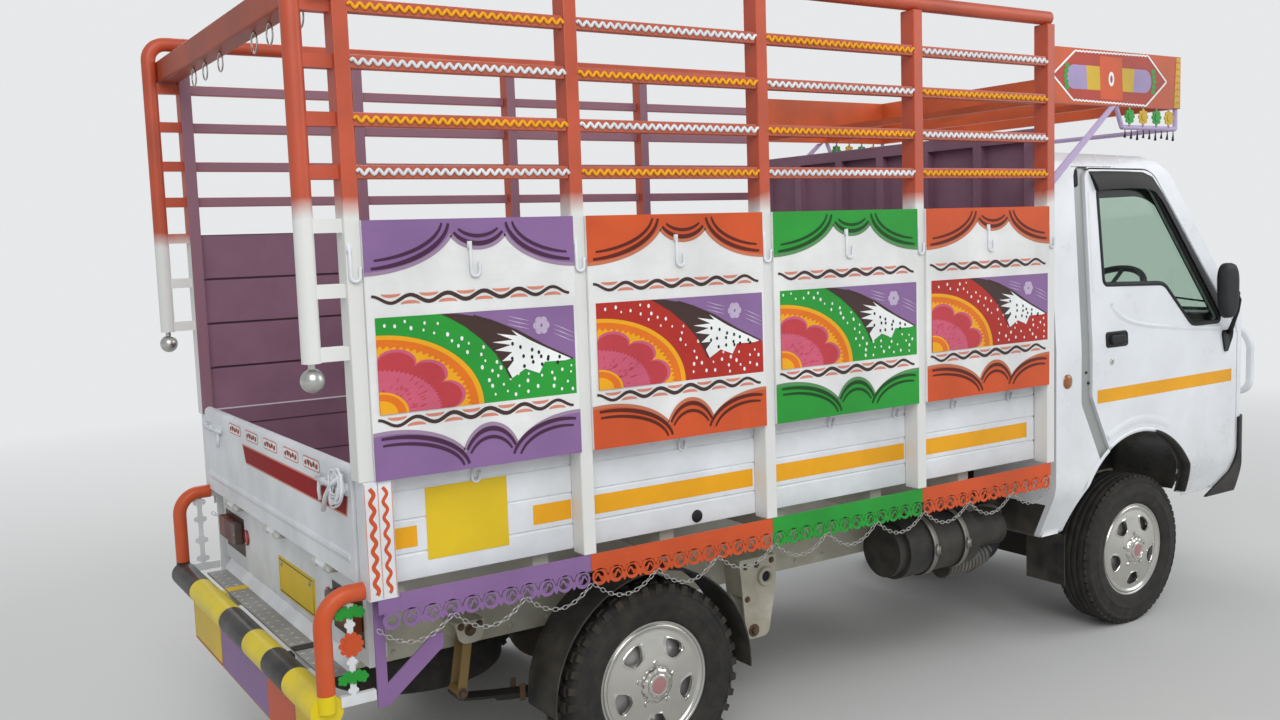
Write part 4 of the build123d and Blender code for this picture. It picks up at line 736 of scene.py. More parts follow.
def board_painting(canvas, x0, x1, valance, field):
    """One bay's painting. u runs forward and v runs up, both from 0 to 1 over the board."""
    tone, dark, pale = INK[valance]
    width, height = x1 - x0, BOARD_Z[1] - BOARD_Z[0]
    left, right, low, high = PICTURE

    def place(u, v):
        return (x0 + u * width, BOARD_Z[0] + v * height)

    def spot(s, t):
        """A point of the picture, both fractions from 0 to 1."""
        return place(left + s * (right - left), low + t * (high - low))

    def bow(cx, rx, rz, start, end, base, lift, count=24):
        """Part of an ellipse hanging from, or standing on, a level. start and end are fractions along u."""
        first, last = (acos(max(-1.0, min(1.0, (u - cx) / rx))) for u in (start, end))
        angles = [first + (last - first) * i / count for i in range(count + 1)]
        return [place(cx + rx * cos(a), base + lift * rz * sin(a)) for a in angles]

    def petal(reach, rise, wave, count):
        """A quarter round from the picture's lower left corner."""
        points = [spot(0, 0)]
        for i in range(count + 1):
            a = radians(90 * i / count)
            r = WAVES[wave](a)
            points.append(spot(reach * r * cos(a), rise * r * sin(a)))
        return points

    for rows, lines, base, lift in ((HUNG, HUNG_LINES, 1.0, -1), (STOOD, STOOD_LINES, 0.0, 1)):
        edge = [point for row in rows for point in bow(*row, base, lift)]
        canvas.fill(tone, [place(0, base)] + edge + [place(1, base)], 1)
        for row in rows:
            canvas.line(pale, bow(*row, base, lift), 0.0095, 2)
        for k, row in enumerate(lines):
            canvas.line(dark, bow(*row, base, lift), 0.0095 if k % 2 else 0.0120, 3, 0.4)
    wavy(canvas, place, 0.697)
    wavy(canvas, place, 0.222)
    canvas.fill(FIELD[field], [spot(0, 0), spot(1, 0), spot(1, 1), spot(0, 1)], 1)

    for layer, (reach, rise, wave, count, coat) in enumerate(FLOWER):
        canvas.fill(coat, petal(reach, rise, wave, count), layer + 2)
    for i in range(26):
        a = radians(SEED.uniform(6, 84))
        r = SEED.uniform(0.45, 0.86)
        s, t = 0.30 * r * cos(a), 0.47 * r * sin(a)
        canvas.line(ROSE, [spot(s * far, t * far) for far in (1, 1.07, 1.14)], 0.0028, 8, 0.6)
    for layer, (reach, rise, wave, count, coat) in enumerate(BUD):
        canvas.fill(coat, petal(reach, rise, wave, count), layer + 9)

    canvas.fill(PURPLE, [spot(*p) for p in RIDGE] + [spot(1, 0.385), spot(1, 1)], 2)
    canvas.fill(BROWN, [spot(*p) for p in RIDGE + BELLY], 3)
    canvas.fill(PAPER, [spot(*p) for p in FEATHERS], 4)
    for row in range(6):
        for k in range(row + 2):
            s = 0.665 + 0.048 * row + SEED.uniform(-0.01, 0.01)
            t = 0.61 - 0.062 * row * 0.62 - 0.30 * k / (row + 2) + SEED.uniform(-0.02, 0.02)
            if t > 0.36 + max(0, (0.72 - s)) * -0.8 and s < 0.93:
                canvas.fill(SOOT, oval(*spot(s, t), 0.0042, 0.0054, 10), 5)
    canvas.line(BROWN, [spot(s, t + 0.004) for s, t in RIDGE[2:]], 0.006, 5, 0.3)
    cx, cz = spot(0.82, 0.80)
    for petal_x, petal_z in oval(cx, cz, 0.0135, 0.0135, 6):
        canvas.fill(MIST, oval(petal_x, petal_z, 0.0115, 0.0115, 12), 3)
    canvas.fill(MIST, oval(cx, cz, 0.0185, 0.0185, 16), 4)
    canvas.fill(PURPLE, oval(cx, cz, 0.0035, 0.0050, 8), 5)
    for way, top, drop, slope in ((-1, 0.86, 0.045, 0.10), (1, 0.80, 0.05, -0.16)):
        for row in range(3):
            s, t = 0.82 + way * 0.065, top - row * drop
            ends = [spot(s, t), spot(s + way * 0.05, t + slope * 0.3), spot(s + way * 0.11, t + slope * 0.7)]
            canvas.line(MIST, ends, 0.0028, 3, 0.8)
    placed = []
    tries = 0
    while len(placed) < 46 and tries < 1500:
        tries += 1
        s, t = SEED.uniform(0.02, 0.98), SEED.uniform(0.05, 0.96)
        if not in_the_open(s, t) or any(hypot(s - a, (t - b) * 0.7) < 0.048 for a, b in placed):
            continue
        placed.append((s, t))
        size = SEED.uniform(0.0026, 0.0046)
        canvas.fill(PAPER, oval(*spot(s, t), size, size * 1.35, 8), 2)


boards = Canvas(BOARD_OUT)
for (x0, x1), (valance, field) in zip(BAYS, BAY_COLOURS):
    board_painting(boards, x0, x1, valance, field)
boards.make("boards", "panel_paint")

# Rope painted in zigzags along the rails, white and yellow by turns. Rows run from the lowest rail up.
ROPE_ROWS = ("WYWY", "YWYW", "WYWY", "YWYW")
ROPE_STEP = 0.003125
ROPES = {"W": Heap(), "Y": Heap()}
for level, row in zip(RAIL_LEVELS, ROPE_ROWS):
    for (x0, x1), letter in zip(BAYS, row):
        steps = int((x1 - x0) / ROPE_STEP)
        for side in SIDES:
            wave = [(x0 + (x1 - x0) * i / steps, level + 0.0062 * sin(pi * i / 4)) for i in range(steps + 1)]
            ROPES[letter].tube([at(x, side * (RAIL_OUT + 0.0028), z) for x, z in wave], 0.0046, 6)
ROPES["W"].make("ropes_white", WHITE, slot="white_paint", smooth=True)
ROPES["Y"].make("ropes_yellow", YELLOW, slot="striped_paint", smooth=True)

# Pressed lace skirts: a plain band with rings, hooked petals and pointed drops below it
SKIRT_BAYS = list(zip(POST_X, POST_X[1:]))
LACE_COATS = (PURPLE, ORANGE, GREEN, ORANGE)
LACE_PITCH = 0.0565
BAND_LOW = 0.735
RING_Z = 0.7125
TAIL_X = (-0.008, 0.0515)
BRACKET = (
    (-0.008, 0.7697), (-0.008, 0.478), (0.020, 0.478), (0.178, 0.602),
    (0.178, 0.640), (0.150, 0.640), (0.020, 0.536), (0.020, 0.7697),
)
DROP = ((-0.010, 0.706), (-0.006, 0.697), (0, 0.6885), (0.006, 0.697), (0.010, 0.706), (0, 0.714))
SPIKE = ((-0.010, BAND_LOW), (0, 0.716), (0.010, BAND_LOW))


def lace(heap, x0, x1, side):
    near, far = SKIRT_OUT - 0.004, SKIRT_OUT
    prism(heap, rect(x0, BAND_LOW - 0.002, x1, SKIRT_TOP), side, near - 0.001, far)
    count = round((x1 - x0) / LACE_PITCH)
    pitch = (x1 - x0) / count
    for k in range(count):
        cx = x0 + (k + 0.5) * pitch
        lean = 1 if k % 2 else -1
        washer(heap, cx, RING_Z, 0.0245, 0.0160, (0.0025 * lean, 0.001), side, near, far)
        hook = []
        for t in (0, 0.2, 0.4, 0.6, 0.8, 1):
            hook.append((cx + lean * (0.015 - 0.020 * t), RING_Z - 0.004 + 0.017 * sin(pi * t) - 0.008 * t))
        for quad in stroke(hook, 0.0065, 0.6):
            prism(heap, quad, side, near + 0.0005, far - 0.0006)
        eye = (near + 0.0004, far + 0.0004)
        washer(heap, cx - lean * 0.006, RING_Z - 0.004, 0.0055, 0.0015, (0, 0), side, *eye, 10)
        if k < count - 1:
            for shape in (SPIKE, DROP):
                outline = [(cx + pitch / 2 + dx, z) for dx, z in shape]
                prism(heap, outline, side, near + 0.0003, far - 0.0004)


far_bracket = Heap()
for k, ((x0, x1), coat) in enumerate(zip(SKIRT_BAYS, LACE_COATS)):
    skirt = Heap()
    for side in SIDES:
        lace(skirt, 0.0505 if k == 0 else x0 + 0.0005, x1 - 0.0005, side)
        if k == 0:
            carrier = skirt if side < 0 else far_bracket
            prism(carrier, BRACKET, side, 0.797, 0.803)
            corner = rect(TAIL_X[0], BAND_LOW - 0.002, TAIL_X[1], 0.7695)
            prism(carrier, corner, side, SKIRT_OUT - 0.005, SKIRT_OUT - 0.0003)
            washer(skirt, 0.0240, RING_Z, 0.0232, 0.0140, (0.0025, 0.001), side, SKIRT_OUT - 0.004, SKIRT_OUT)
    skirt.make(f"lace_skirt_{k + 1}", coat, slot="skirt_paint", stands_for=("side_skirts",))
far_bracket.make("left_bracket", WHITE, slot="white_paint")

# Chain swags of oval links below the skirts, three in each bay
CHAIN_Y = SKIRT_OUT + 0.0045
CHAIN_TOP = 0.698
LINK_PITCH = 0.0148
ACROSS = Vector((0, 1, 0))


def link(heap, centre, along, turned):
    """One oval link, lying flat to the skirt or turned on edge."""
    along = along.normalized()
    across = ACROSS * 0.0042 if turned else ACROSS.cross(along).normalized() * 0.0052
    loop = []
    for a in turns(12):
        loop.append(centre + along * (0.0072 * cos(a) + 0.0022 * (1 if cos(a) > 0 else -1)) + across * sin(a))
    heap.tube(loop, 0.0012, 5, closed=True)


def along_path(points, wants):
    """Points at given lengths along a path, and each one's direction."""
    run = [0.0]
    for a, b in zip(points, points[1:]):
        run.append(run[-1] + (b - a).length)
    for want in wants(run[-1]):
        i = next(n for n in range(1, len(run)) if run[n] >= want)
        share = (want - run[i - 1]) / (run[i] - run[i - 1])
        yield points[i - 1].lerp(points[i], share), points[i] - points[i - 1]


def link_places(length):
    count = int(length / LINK_PITCH)
    return [length * (k + 0.5) / count for k in range(count)]


def swag(heap, x0, x1, side, sag):
    """Links hung in an arc between two stations."""
    shares = [i / 40 for i in range(41)]
    points = [at(x0 + (x1 - x0) * t, side * CHAIN_Y, CHAIN_TOP - sag * (1 - (2 * t - 1) ** 2)) for t in shares]
    for k, (centre, along) in enumerate(along_path(points, link_places)):
        link(heap, centre, along, k % 2 == 1)


chain = Heap()
for x0, x1 in SKIRT_BAYS:
    step = (x1 - x0) / 3
    for k in range(3):
        for side in SIDES:
            swag(chain, x0 + k * step + 0.004, x0 + (k + 1) * step - 0.004, side, 0.050 + 0.004 * (k % 2))
chain.make("chains", STEEL, slot="chain_white", smooth=True, stands_for=("chain_swags",))

# Rope hooks bent from round bar
hooks = Heap()
for face, stations in ((BOARD_OUT, [(a + b) / 2 for a, b in BAYS]), (POST_OUT, POST_X)):
    for x in stations:
        for side in SIDES:
            spine = [(x - 0.012, 1.652), (x - 0.012, 1.600), *arc(x, 1.582, 0.012, 180, 360, 9)]
            spine += [(x + 0.012, 1.598), (x + 0.014, 1.606)]
            hooks.tube([at(px, side * (face + 0.0048), pz) for px, pz in spine], 0.0044, 8)
            hooks.tube([at(x - 0.012, side * (face + 0.0010), z) for z in (1.660, 1.640)], 0.007, 8)
hooks.make("hooks", WHITE, slot="white_paint", smooth=True, stands_for=("rope_hooks",))


# Tyres: a carcass with blocks and side lugs at the rear and ribs at the front
def wheel_frame(name):
    x, half, side = WHEELS[name]
    return at(x, side * half, WHEEL_Z), side, (0, side, 0)


def polar(centre, side, radius, angle, out):
    """A point on a wheel. The angle is in degrees from forward, and out is the distance outward."""
    a = radians(angle)
    return centre + Vector((radius * cos(a), side * out, -side * radius * sin(a)))


def sector(heap, centre, side, radii, angles, outs, rim):
    """A tapered tread block between two radii, two angles and two distances outward."""
    (a0, a1), (w0, w1) = angles, outs
    am, wm = (a0 + a1) / 2, (w0 + w1) / 2
    verts = []
    for radius, share in zip(radii, (1.0, rim)):
        for a, w in ((a0, w0), (a1, w0), (a1, w1), (a0, w1)):
            verts.append(polar(centre, side, radius, am + (a - am) * share, wm + (w - wm) * share))
    heap.add(verts, [(0, 1, 2, 3), (7, 6, 5, 4), (0, 4, 5, 1), (1, 5, 6, 2), (2, 6, 7, 3), (3, 7, 4, 0)])


# The carcass from bead to crown, as rows of (radius, distance from the tyre's middle)
CARCASS = (
    (0.1815, 0.060), (0.1915, 0.0632), (0.1915, 0.0720), (0.205, 0.0765), (0.228, 0.0812), (0.236, 0.0822),
    (0.238, 0.0835), (0.242, 0.0835), (0.244, 0.0822), (0.258, 0.0824), (0.270, 0.0806), (0.2825, 0.0770),
    (0.2835, 0.0785), (0.287, 0.0780), (0.293, 0.0720), (0.2995, 0.0650), (0.302, 0.0520),
)
REAR_CROWN = [(0.3015, 0.030), (0.3015, 0.0)]
RIB = ((0.3085, 0.006), (0.3098, 0.004), (0.3098, -0.012), (0.3085, -0.014), (0.3015, -0.0145), (0.3015, -0.0195))
FRONT_CROWN = [(0.3070, 0.0535)] + [(r, w + dw) for w in (0.044, 0.018) for r, dw in RIB][:-1] + [(0.3015, 0.0)]
# Tread blocks: two radii, start and end as shares of a step, two distances outward, share left at the top
REAR_BLOCKS = (
    ((0.3005, 0.3103), (0.0, 0.72), (0.003, 0.027), 0.75),
    ((0.2990, 0.3098), (0.3, 1.0), (0.032, 0.059), 0.75),
    ((0.2790, 0.3060), (0.3, 0.86), (0.0570, 0.0800), 0.72),
)
FRONT_BLOCKS = (((0.2980, 0.3085), (0.0, 4.6 / 6), (0.0530, 0.0665), 0.9),)
for name in WHEELS:
    centre, side, axis = wheel_frame(name)
    rear = name[0] == "r"
    half_rows = list(CARCASS) + (REAR_CROWN if rear else FRONT_CROWN)
    body = Heap()
    body.turned(half_rows + [(r, -w) for r, w in half_rows[-2::-1]], centre, axis, 96)
    body.make(f"carcass_{name}", TYRE, f"wheel_{name}", "tyre", True, (f"tyre_{name}",))
    tread = Heap()
    count, blocks = (38, REAR_BLOCKS) if rear else (60, FRONT_BLOCKS)
    step = 360 / count
    for k in range(count):
        for way in SIDES:
            start = k * step + (step / 2 if rear and way > 0 else 0)
            for radii, shares, outs, rim in blocks:
                angles = [start + step * share for share in shares]
                sector(tread, centre, side, radii, angles, [way * w for w in outs], rim)
    tread.make(f"tread_{name}", TREAD, f"wheel_{name}", "tyre", False)

# Wheels: a barrel with a polished domed cover that has five holes, sham nuts and a plain middle
HOLE_R = 0.1185
HOLE_HALF = (0.0315, 0.0262)
RIM_RANGE = (0.1225, 0.0375)
# How far out the cover stands, and the turned shapes, as rows of (radius, distance outward)
DOME = ((0.085, 0.0765), (0.100, 0.0742), (0.120, 0.0708), (0.140, 0.0672), (0.160, 0.0645))
BARREL = (
    (0.1775, 0.0570), (0.1865, 0.0600), (0.1912, 0.0650), (0.1912, 0.0690), (0.1880, 0.0695), (0.1800, 0.0665),
    (0.1790, 0.0600), (0.1700, 0.0500), (0.1650, -0.0600), (0.1840, -0.0650), (0.1912, -0.0690),
    (0.1912, -0.0600), (0.1780, -0.0570), (0.1775, 0.0570),
)
DISC = ((0.168, 0.036), (0.120, 0.040), (0.090, 0.050), (0.050, 0.052), (0.0, 0.052))
HUB = ((0.050, -0.050), (0.050, 0.030), (0.0, 0.030))
COVER_RIM = (
    (0.160, 0.0645), (0.165, 0.0638), (0.1675, 0.0660), (0.1715, 0.0700), (0.1760, 0.0706), (0.1795, 0.0690),
    (0.1805, 0.0650),
)
COVER_HUB = (
    (0.085, 0.0765), (0.074, 0.0785), (0.064, 0.0800), (0.0585, 0.0800), (0.0570, 0.0780), (0.0550, 0.0780),
    (0.0535, 0.0810), (0.0500, 0.0870), (0.0440, 0.0905), (0.0400, 0.0915), (0.0385, 0.0895), (0.0368, 0.0895),
    (0.0355, 0.0930), (0.0320, 0.0952), (0.0285, 0.0960), (0.0262, 0.0955), (0.0252, 0.0940), (0.0246, 0.0940),
)
NUT = ((0.0085, 0), (0.0085, 0.006), (0.0070, 0.0085), (0.0, 0.0092))
CAP = ((0.0250, 0.0938), (0.0235, 0.0944), (0.0150, 0.0950), (0.0, 0.0952))
# Rings round each hole: share of the way to the cover's edge, size inside the hole, lift off the dome
HOLE_RINGS = (
    (None, 0.93, -0.012), (None, 0.95, 0.0005), (0, 1, 0.0026), (0.08, 1, 0.0018), (0.2, 1, 0), (0.45, 1, 0),
    (0.75, 1, 0), (1, 1, 0),
)
SPIN = 270
CAP_RED = paint("cap_rose", (170, 122, 122), rough=0.25, coat=0.3, mottle=0.1)
DISC_STEEL = metal("disc_steel", (178, 176, 174), 0.4, 0.6, 0.3)


def signed_power(value, power):
    return abs(value) ** power * (1 if value >= 0 else -1)


def hole_ring(centre, side, middle, share, size, lift, points=48):
    """One ring of the cover round a hole, from inside the hole out to the cover's edge."""
    ring = []
    for t in turns(points):
        hu, hv = (half * signed_power(turn, 0.72) for half, turn in zip(HOLE_HALF, (cos(t), sin(t))))
        hole_a = degrees(hu * (1.0 + 0.22 * hv / HOLE_HALF[1]) / HOLE_R)
        reach = max(abs(cos(t)), abs(sin(t)))
        edge_a, edge_r = 36 * cos(t) / reach, RIM_RANGE[0] + RIM_RANGE[1] * sin(t) / reach
        if share is None:
            a, r = hole_a * size, HOLE_R + hv * size
        else:
            a, r = hole_a + (edge_a - hole_a) * share, HOLE_R + hv + (edge_r - (HOLE_R + hv)) * share
        ring.append(polar(centre, side, r, middle + a, reading(DOME, r) + lift))
    return ring


for name in WHEELS:
    centre, side, axis = wheel_frame(name)
    wheel = f"wheel_{name}"
    barrel, back, cover, nuts, cap = (Heap() for _ in range(5))
    barrel.turned(BARREL, centre, axis, 72)
    barrel.make(f"barrel_{name}", STEEL, wheel, "bright_steel", True, (wheel,))
    back.turned(DISC, centre, axis, 48)
    back.turned(HUB, centre, axis, 24)
    back.make(f"disc_{name}", DISC_STEEL, wheel, "bare_iron", True)
    cover.turned(COVER_RIM, centre, axis, 90)
    hub_rings = []
    for radius, out in COVER_HUB:
        lobes = 0.035 if 0.032 < radius < 0.054 else 0
        lobed = [(a, radius * (1 + lobes * cos(radians(10 * a)))) for a in range(0, 360, 4)]
        hub_rings.append([polar(centre, side, r, a + SPIN, out) for a, r in lobed])
    cover.stitch(hub_rings)
    for hole in range(5):
        cover.stitch([hole_ring(centre, side, SPIN + 72 * hole, *row) for row in HOLE_RINGS])
    cover.make(f"cover_{name}", CHROME, wheel, "wheel_chrome", True)
    for k in range(5):
        nuts.turned(NUT, polar(centre, side, 0.0665, SPIN + 36 + 72 * k, 0.0770), axis, 6)
    nuts.make(f"sham_nuts_{name}", CHROME, wheel, "wheel_chrome", False)
    cap.turned(CAP, centre, axis, 40)
    cap.make(f"cap_{name}", CAP_RED, wheel, "wheel_chrome", True)

# Stripes and blank plates on the tray, and wavy lines down the corner boards
STRIPE_Z = (0.876, 0.931)
STRIPES = ((0.060, 0.128), (0.468, 0.588), (0.640, 1.236), (1.292, 1.890), (1.944, 2.520))
tray = Canvas(TRAY_OUT)
for x0, x1 in STRIPES:
    tray.fill(YELLOW, rect(x0, STRIPE_Z[0], x1, STRIPE_Z[1]))
tray.fill(PLATE_YELLOW, rect(0.155, 0.834, 0.391, 1.026), 2)
tray.make("tray_bands", "striped_paint")
corners = Canvas(POST_OUT)
for x, width in ((-0.010, 0.011), (0.024, 0.009)):
    corners.line(ORANGE, [(x + 0.0052 * sin(2 * pi * i / 9), 0.785 + 0.272 * i / 60) for i in range(61)], width)
for x in (-0.0285, 0.0065, 0.0430):
    corners.line(SALMON, [(x, 0.775), (x, 0.92), (x, 1.068)], 0.0022)
corners.make("corner_waves", "striped_paint")

# Cab side: window rubber, smoked visor, pressed creases, handle, lock, stripe and mirror glass on each door
WINDOW = rounded((
    (2.995, 1.418, 0.020), (2.980, 1.792, 0.030), (3.330, 1.792, 0.080),
    (3.768, 1.226, 0.015), (3.560, 1.226, 0.060), (3.380, 1.405, 0.080),
))
SILL = (
    (3.030, 1.335), (3.042, 1.320), (3.062, 1.302), (3.085, 1.287), (3.115, 1.273), (3.147, 1.262), (3.190, 1.252),
    (3.236, 1.244), (3.290, 1.236), (3.346, 1.230), (3.420, 1.222), (3.496, 1.214), (3.575, 1.208), (3.651, 1.202),
    (3.752, 1.194),
)
# Mouldings' sections, as rows of (distance along the skin, lift)
RUBBER = ((-0.006, -0.010), (-0.004, 0.001), (0.001, 0.0045), (0.008, 0.0045), (0.011, 0.0030), (0.0125, -0.0005))
ARCH_LIP = ((-0.001, -0.030), (-0.001, 0.0090), (0.006, 0.0095), (0.010, 0.0060))
ARCH_EDGE = ((-0.001, -0.002), (0.001, 0.0026), (0.006, 0.0032), (0.011, 0.0018), (0.015, -0.0003))
CREASE = ((-0.013, -0.0003), (-0.007, 0.0022), (-0.001, 0.0052), (0.004, 0.0056), (0.006, 0.0040), (0.010, -0.0003))
SWELL = ((-0.020, -0.0003), (-0.008, 0.0026), (0.002, 0.0034), (0.010, 0.0020), (0.018, -0.0003))
PILLAR = ((-0.010, -0.0003), (-0.004, 0.003), (0.004, 0.003), (0.010, -0.0003))
CORNER = ((-0.010, -0.0003), (-0.005, 0.0018), (0.001, 0.0018), (0.007, -0.0003))
BEZEL = ((-0.012, 0.0010), (-0.005, 0.0040), (-0.001, 0.0042), (0.002, 0.0))
PADDLE = ((0.0, 0.0), (0.0, 0.0090), (-0.002, 0.0115), (-0.007, 0.0125))
MARKER = ((-0.020, 0.0095), (-0.014, 0.0088), (-0.007, 0.0065), (-0.002, 0.0030), (0.0, -0.0003))
CAPSULE = ((-0.012, -0.006), (-0.004, -0.0065), (0.0, -0.012))
VISOR_IN = (
    (2.968, 1.776), (3.060, 1.781), (3.180, 1.783), (3.275, 1.781), (3.325, 1.768), (3.372, 1.727),
    (3.420, 1.668), (3.510, 1.552), (3.600, 1.436), (3.690, 1.320), (3.748, 1.244),
)
VISOR_OUT = (
    (2.930, 1.850), (3.040, 1.851), (3.170, 1.850), (3.268, 1.847), (3.330, 1.829), (3.388, 1.771),
    (3.448, 1.700), (3.545, 1.582), (3.645, 1.461), (3.745, 1.340), (3.806, 1.264),
)
VISOR_SHARES = (0.0, 0.19, 0.38, 0.58, 0.78, 1.0)
LOCK = ((0.0125, 0.0), (0.0125, 0.0020), (0.0095, 0.0036), (0.0080, 0.0030), (0.0, 0.0032))
# The folded mirror: rows of (inset from its outline, distance from the middle), then its socket and arm
MIRROR_MID = (3.672, 1.358)
MIRROR_HALF = (0.0630, 0.1135)
MIRROR_SHELL = (
    (0.008, 0.8560), (0.003, 0.8562), (0.0, 0.8600), (0.0, 0.8700), (0.003, 0.8790), (0.010, 0.8850),
    (0.022, 0.8888), (0.040, 0.8902),
)
SOCKET = ((0.016, 0.0), (0.016, 0.020), (0.012, 0.026), (0.0, 0.026))
ARM = (
    (3.742, 0.866, 1.338, 0.0085), (3.764, 0.864, 1.314, 0.0080), (3.782, 0.846, 1.268, 0.0080),
    (3.797, 0.818, 1.214, 0.0090), (3.805, 0.798, 1.170, 0.0115),
)
ARM_FOOT = (
    (3.772, 1.182), (3.840, 1.186), (3.844, 1.176), (3.838, 1.150), (3.806, 1.094), (3.790, 1.092),
    (3.784, 1.102), (3.768, 1.168),
)
CARD_Y = 0.7455
WINDER_HUB = ((0.026, 0.0), (0.026, 0.006), (0.010, 0.012), (0.0, 0.012))
WINDER_KNOB = ((0.012, 0.0), (0.013, 0.018), (0.008, 0.026), (0.0, 0.026))


def mirror_ring(side, inset, out):
    """An outline round the folded mirror, rounded above and narrower below."""
    ring = []
    for t in turns(40):
        dz = (MIRROR_HALF[1] - inset) * signed_power(sin(t), 0.66)
        wide = (MIRROR_HALF[0] - inset) * (1 + 0.10 * dz / MIRROR_HALF[1])
        x = MIRROR_MID[0] + wide * signed_power(cos(t), 0.66) - 0.025 * dz
        ring.append(at(x, side * out, MIRROR_MID[1] + dz))
    return ring


def visor(side):
    """The smoked visor over the door's window, hollow towards the glass."""
    heap = Heap()
    rows = []
    for (xi, zi), (xo, zo) in zip(VISOR_IN, VISOR_OUT):
        rows.append([(xi + (xo - xi) * share, zi + (zo - zi) * share, share) for share in VISOR_SHARES])
    tops = []
    for row in rows:
        tops.append([at(x, side * (skin(z) + 0.002 + 0.015 * cos(pi / 2 * t) ** 0.6), z) for x, z, t in row])
    heap.add([v for top in tops for v in top], lattice(len(rows), len(VISOR_SHARES), ring=False))
    for end in (0, -1):
        heap.polygon(tops[end] + [at(x, side * skin(z), z) for x, z, _ in rows[end]][::-1])
    return heap


def pressings(side):
    """The door's creases and the swelling over the wheel arch."""
    heap = Heap()
    for line, section in (
        (SILL, CREASE),
        (arc(*ARCH, 0.3915, 118.5, 12, 40), ARCH_EDGE),
        (arc(*ARCH, 0.4400, 118, 64, 24), SWELL),
        ([(2.925, 1.395), (2.925, 1.770)], PILLAR),
    ):
        ribbon(heap, line, side, section, False)
    return heap


def mirror_and_handle(side):
    heap = Heap()
    rings = [mirror_ring(side, inset, out) for inset, out in MIRROR_SHELL]
    heap.stitch(rings)
    heap.polygon(rings[0])
    heap.polygon(rings[-1][::-1])
    heap.turned(SOCKET, at(3.722, side * 0.861, 1.345), (1, side * 0.25, -0.2), 18)
    heap.tube([at(x, side * y, z) for x, y, z, _ in ARM], [row[3] for row in ARM], 12)
    prism(heap, ARM_FOOT, side, 0.7853, 0.7935)
    ribbon(heap, soft_rect(3.010, 1.181, 3.102, 1.217, 0.012, 5), side, PADDLE)
    skin_patch(heap, soft_rect(3.016, 1.187, 3.096, 1.211, 0.008, 5), side, 0.0124)
    return heap


def door_fittings(side):
    """A pull handle and a window winder on the door's card."""
    heap = Heap()
    pull = []
    for k in range(13):
        y = CARD_Y - 0.028 + 0.022 * abs(2 * k / 12 - 1) ** 3
        pull.append(at(3.10 + 0.30 * k / 12, side * y, 1.02 + 0.02 * sin(pi * k / 12)))
    heap.tube(pull, 0.013, 10)
    heap.turned(WINDER_HUB, at(3.50, side * CARD_Y, 0.93), (0, -side, 0), 20)
    heap.tube([at(3.50, side * (CARD_Y - 0.010), 0.93), at(3.585, side * (CARD_Y - 0.018), 0.965)], 0.006, 8)
    heap.turned(WINDER_KNOB, at(3.583, side * (CARD_Y - 0.014), 0.964), (0, -side, 0), 14)
    return heap


for side, name in SIDE_NAMES:
    door = f"door_{name}"
    trim, band, bezel, lock, key, face = (Heap() for _ in range(6))
    ribbon(trim, WINDOW, side, RUBBER)
    ribbon(trim, arc(*ARCH, 0.3905, 76, 12), side, ARCH_LIP, False)
    trim.make(f"window_rubber_{name}", BLACK, door, "black_plastic", True)
    visor(side).make(f"visor_{name}", SMOKE, door, "black_plastic", True)
    pressings(side).make(f"door_pressings_{name}", CAB_WHITE, door, "white_paint", True)
    skin_patch(band, [(2.936, 0.956), (3.846, 0.962), (3.846, 1.014), (2.936, 1.008)], side, 0.0005)
    band.make(f"door_band_{name}", YELLOW, door, "striped_paint")
    ribbon(bezel, soft_rect(2.988, 1.170, 3.122, 1.228, 0.012, 4), side, BEZEL)
    skin_patch(bezel, soft_rect(2.996, 1.178, 3.114, 1.220, 0.008, 4), side, 0.0012)
    bezel.make(f"handle_bezel_{name}", BLACK, door, "black_plastic", True)
    lock.knob(LOCK, 3.024, skin(1.113), 1.113, side, 24)
    lock.make(f"door_lock_{name}", CHROME, door, "bright_steel", True)
    # Painted shade: a thin black plate on the lock stands for the shaded keyway.
    prism(key, rect(3.0232, 1.1075, 3.0248, 1.1185), side, 0.786, 0.7886)
    key.make(f"key_slot_{name}", SOOT, door, "black_plastic")
    hardware = mirror_and_handle(side)
    hardware.make(f"door_hardware_{name}", BLACK, door, "black_plastic", True, (f"door_trim_{name}",))
    face.polygon(mirror_ring(side, 0.011, 0.8551))
    face.make(f"mirror_glass_{name}", MIRROR, door, "bright_steel")
    door_fittings(side).make(f"door_fittings_{name}", BLACK, door, "black_plastic", True)

# Cab body: the rear part of the arch, a sheet over the lower rear corner, a side marker and body fasteners
CORNER_X = (2.706, 2.802)
CORNER_LEVELS = (0.4505, 0.480, 0.520, 0.560, 0.600)
shell, marker_rim, fasteners = Heap(), Heap(), Heap()
for side in SIDES:
    ribbon(shell, arc(*ARCH, 0.3865, 175, 120.5, 24), side, ARCH_EDGE, False)
    ribbon(shell, [(2.7035, 1.860), (2.7035, 0.480)], side, CORNER, False)
    ribbon(marker_rim, soft_rect(2.730, 1.031, 2.782, 1.087, 0.024, 6), side, MARKER)
    skin_patch(marker_rim, soft_rect(2.750, 1.051, 2.762, 1.067, 0.004, 3), side, 0.0096)
    for x, z, r in ((2.880, 1.082, 0.005), (2.893, 1.040, 0.006), (2.915, 1.028, 0.0045)):
        fasteners.knob(((r, 0.0), (r, 0.004), (0.0, 0.005)), x, 0.773, z, side, 10)
    ribbon(fasteners, soft_rect(2.846, 1.790, 2.876, 1.862, 0.012, 5), side, CAPSULE)
    sheet = [
        at(x, side * (skin(z) + lift), z) for lift in (0.0007, -0.0025) for z in CORNER_LEVELS for x in CORNER_X
    ]
    front = [(2 * k, 2 * k + 1, 2 * k + 3, 2 * k + 2) for k in range(4)]
    back = [(2 * k + 1, 2 * k, 2 * k + 2, 2 * k + 3) for k in range(5, 9)]
    shell.add(sheet, front + back + [(0, 1, 11, 10)])
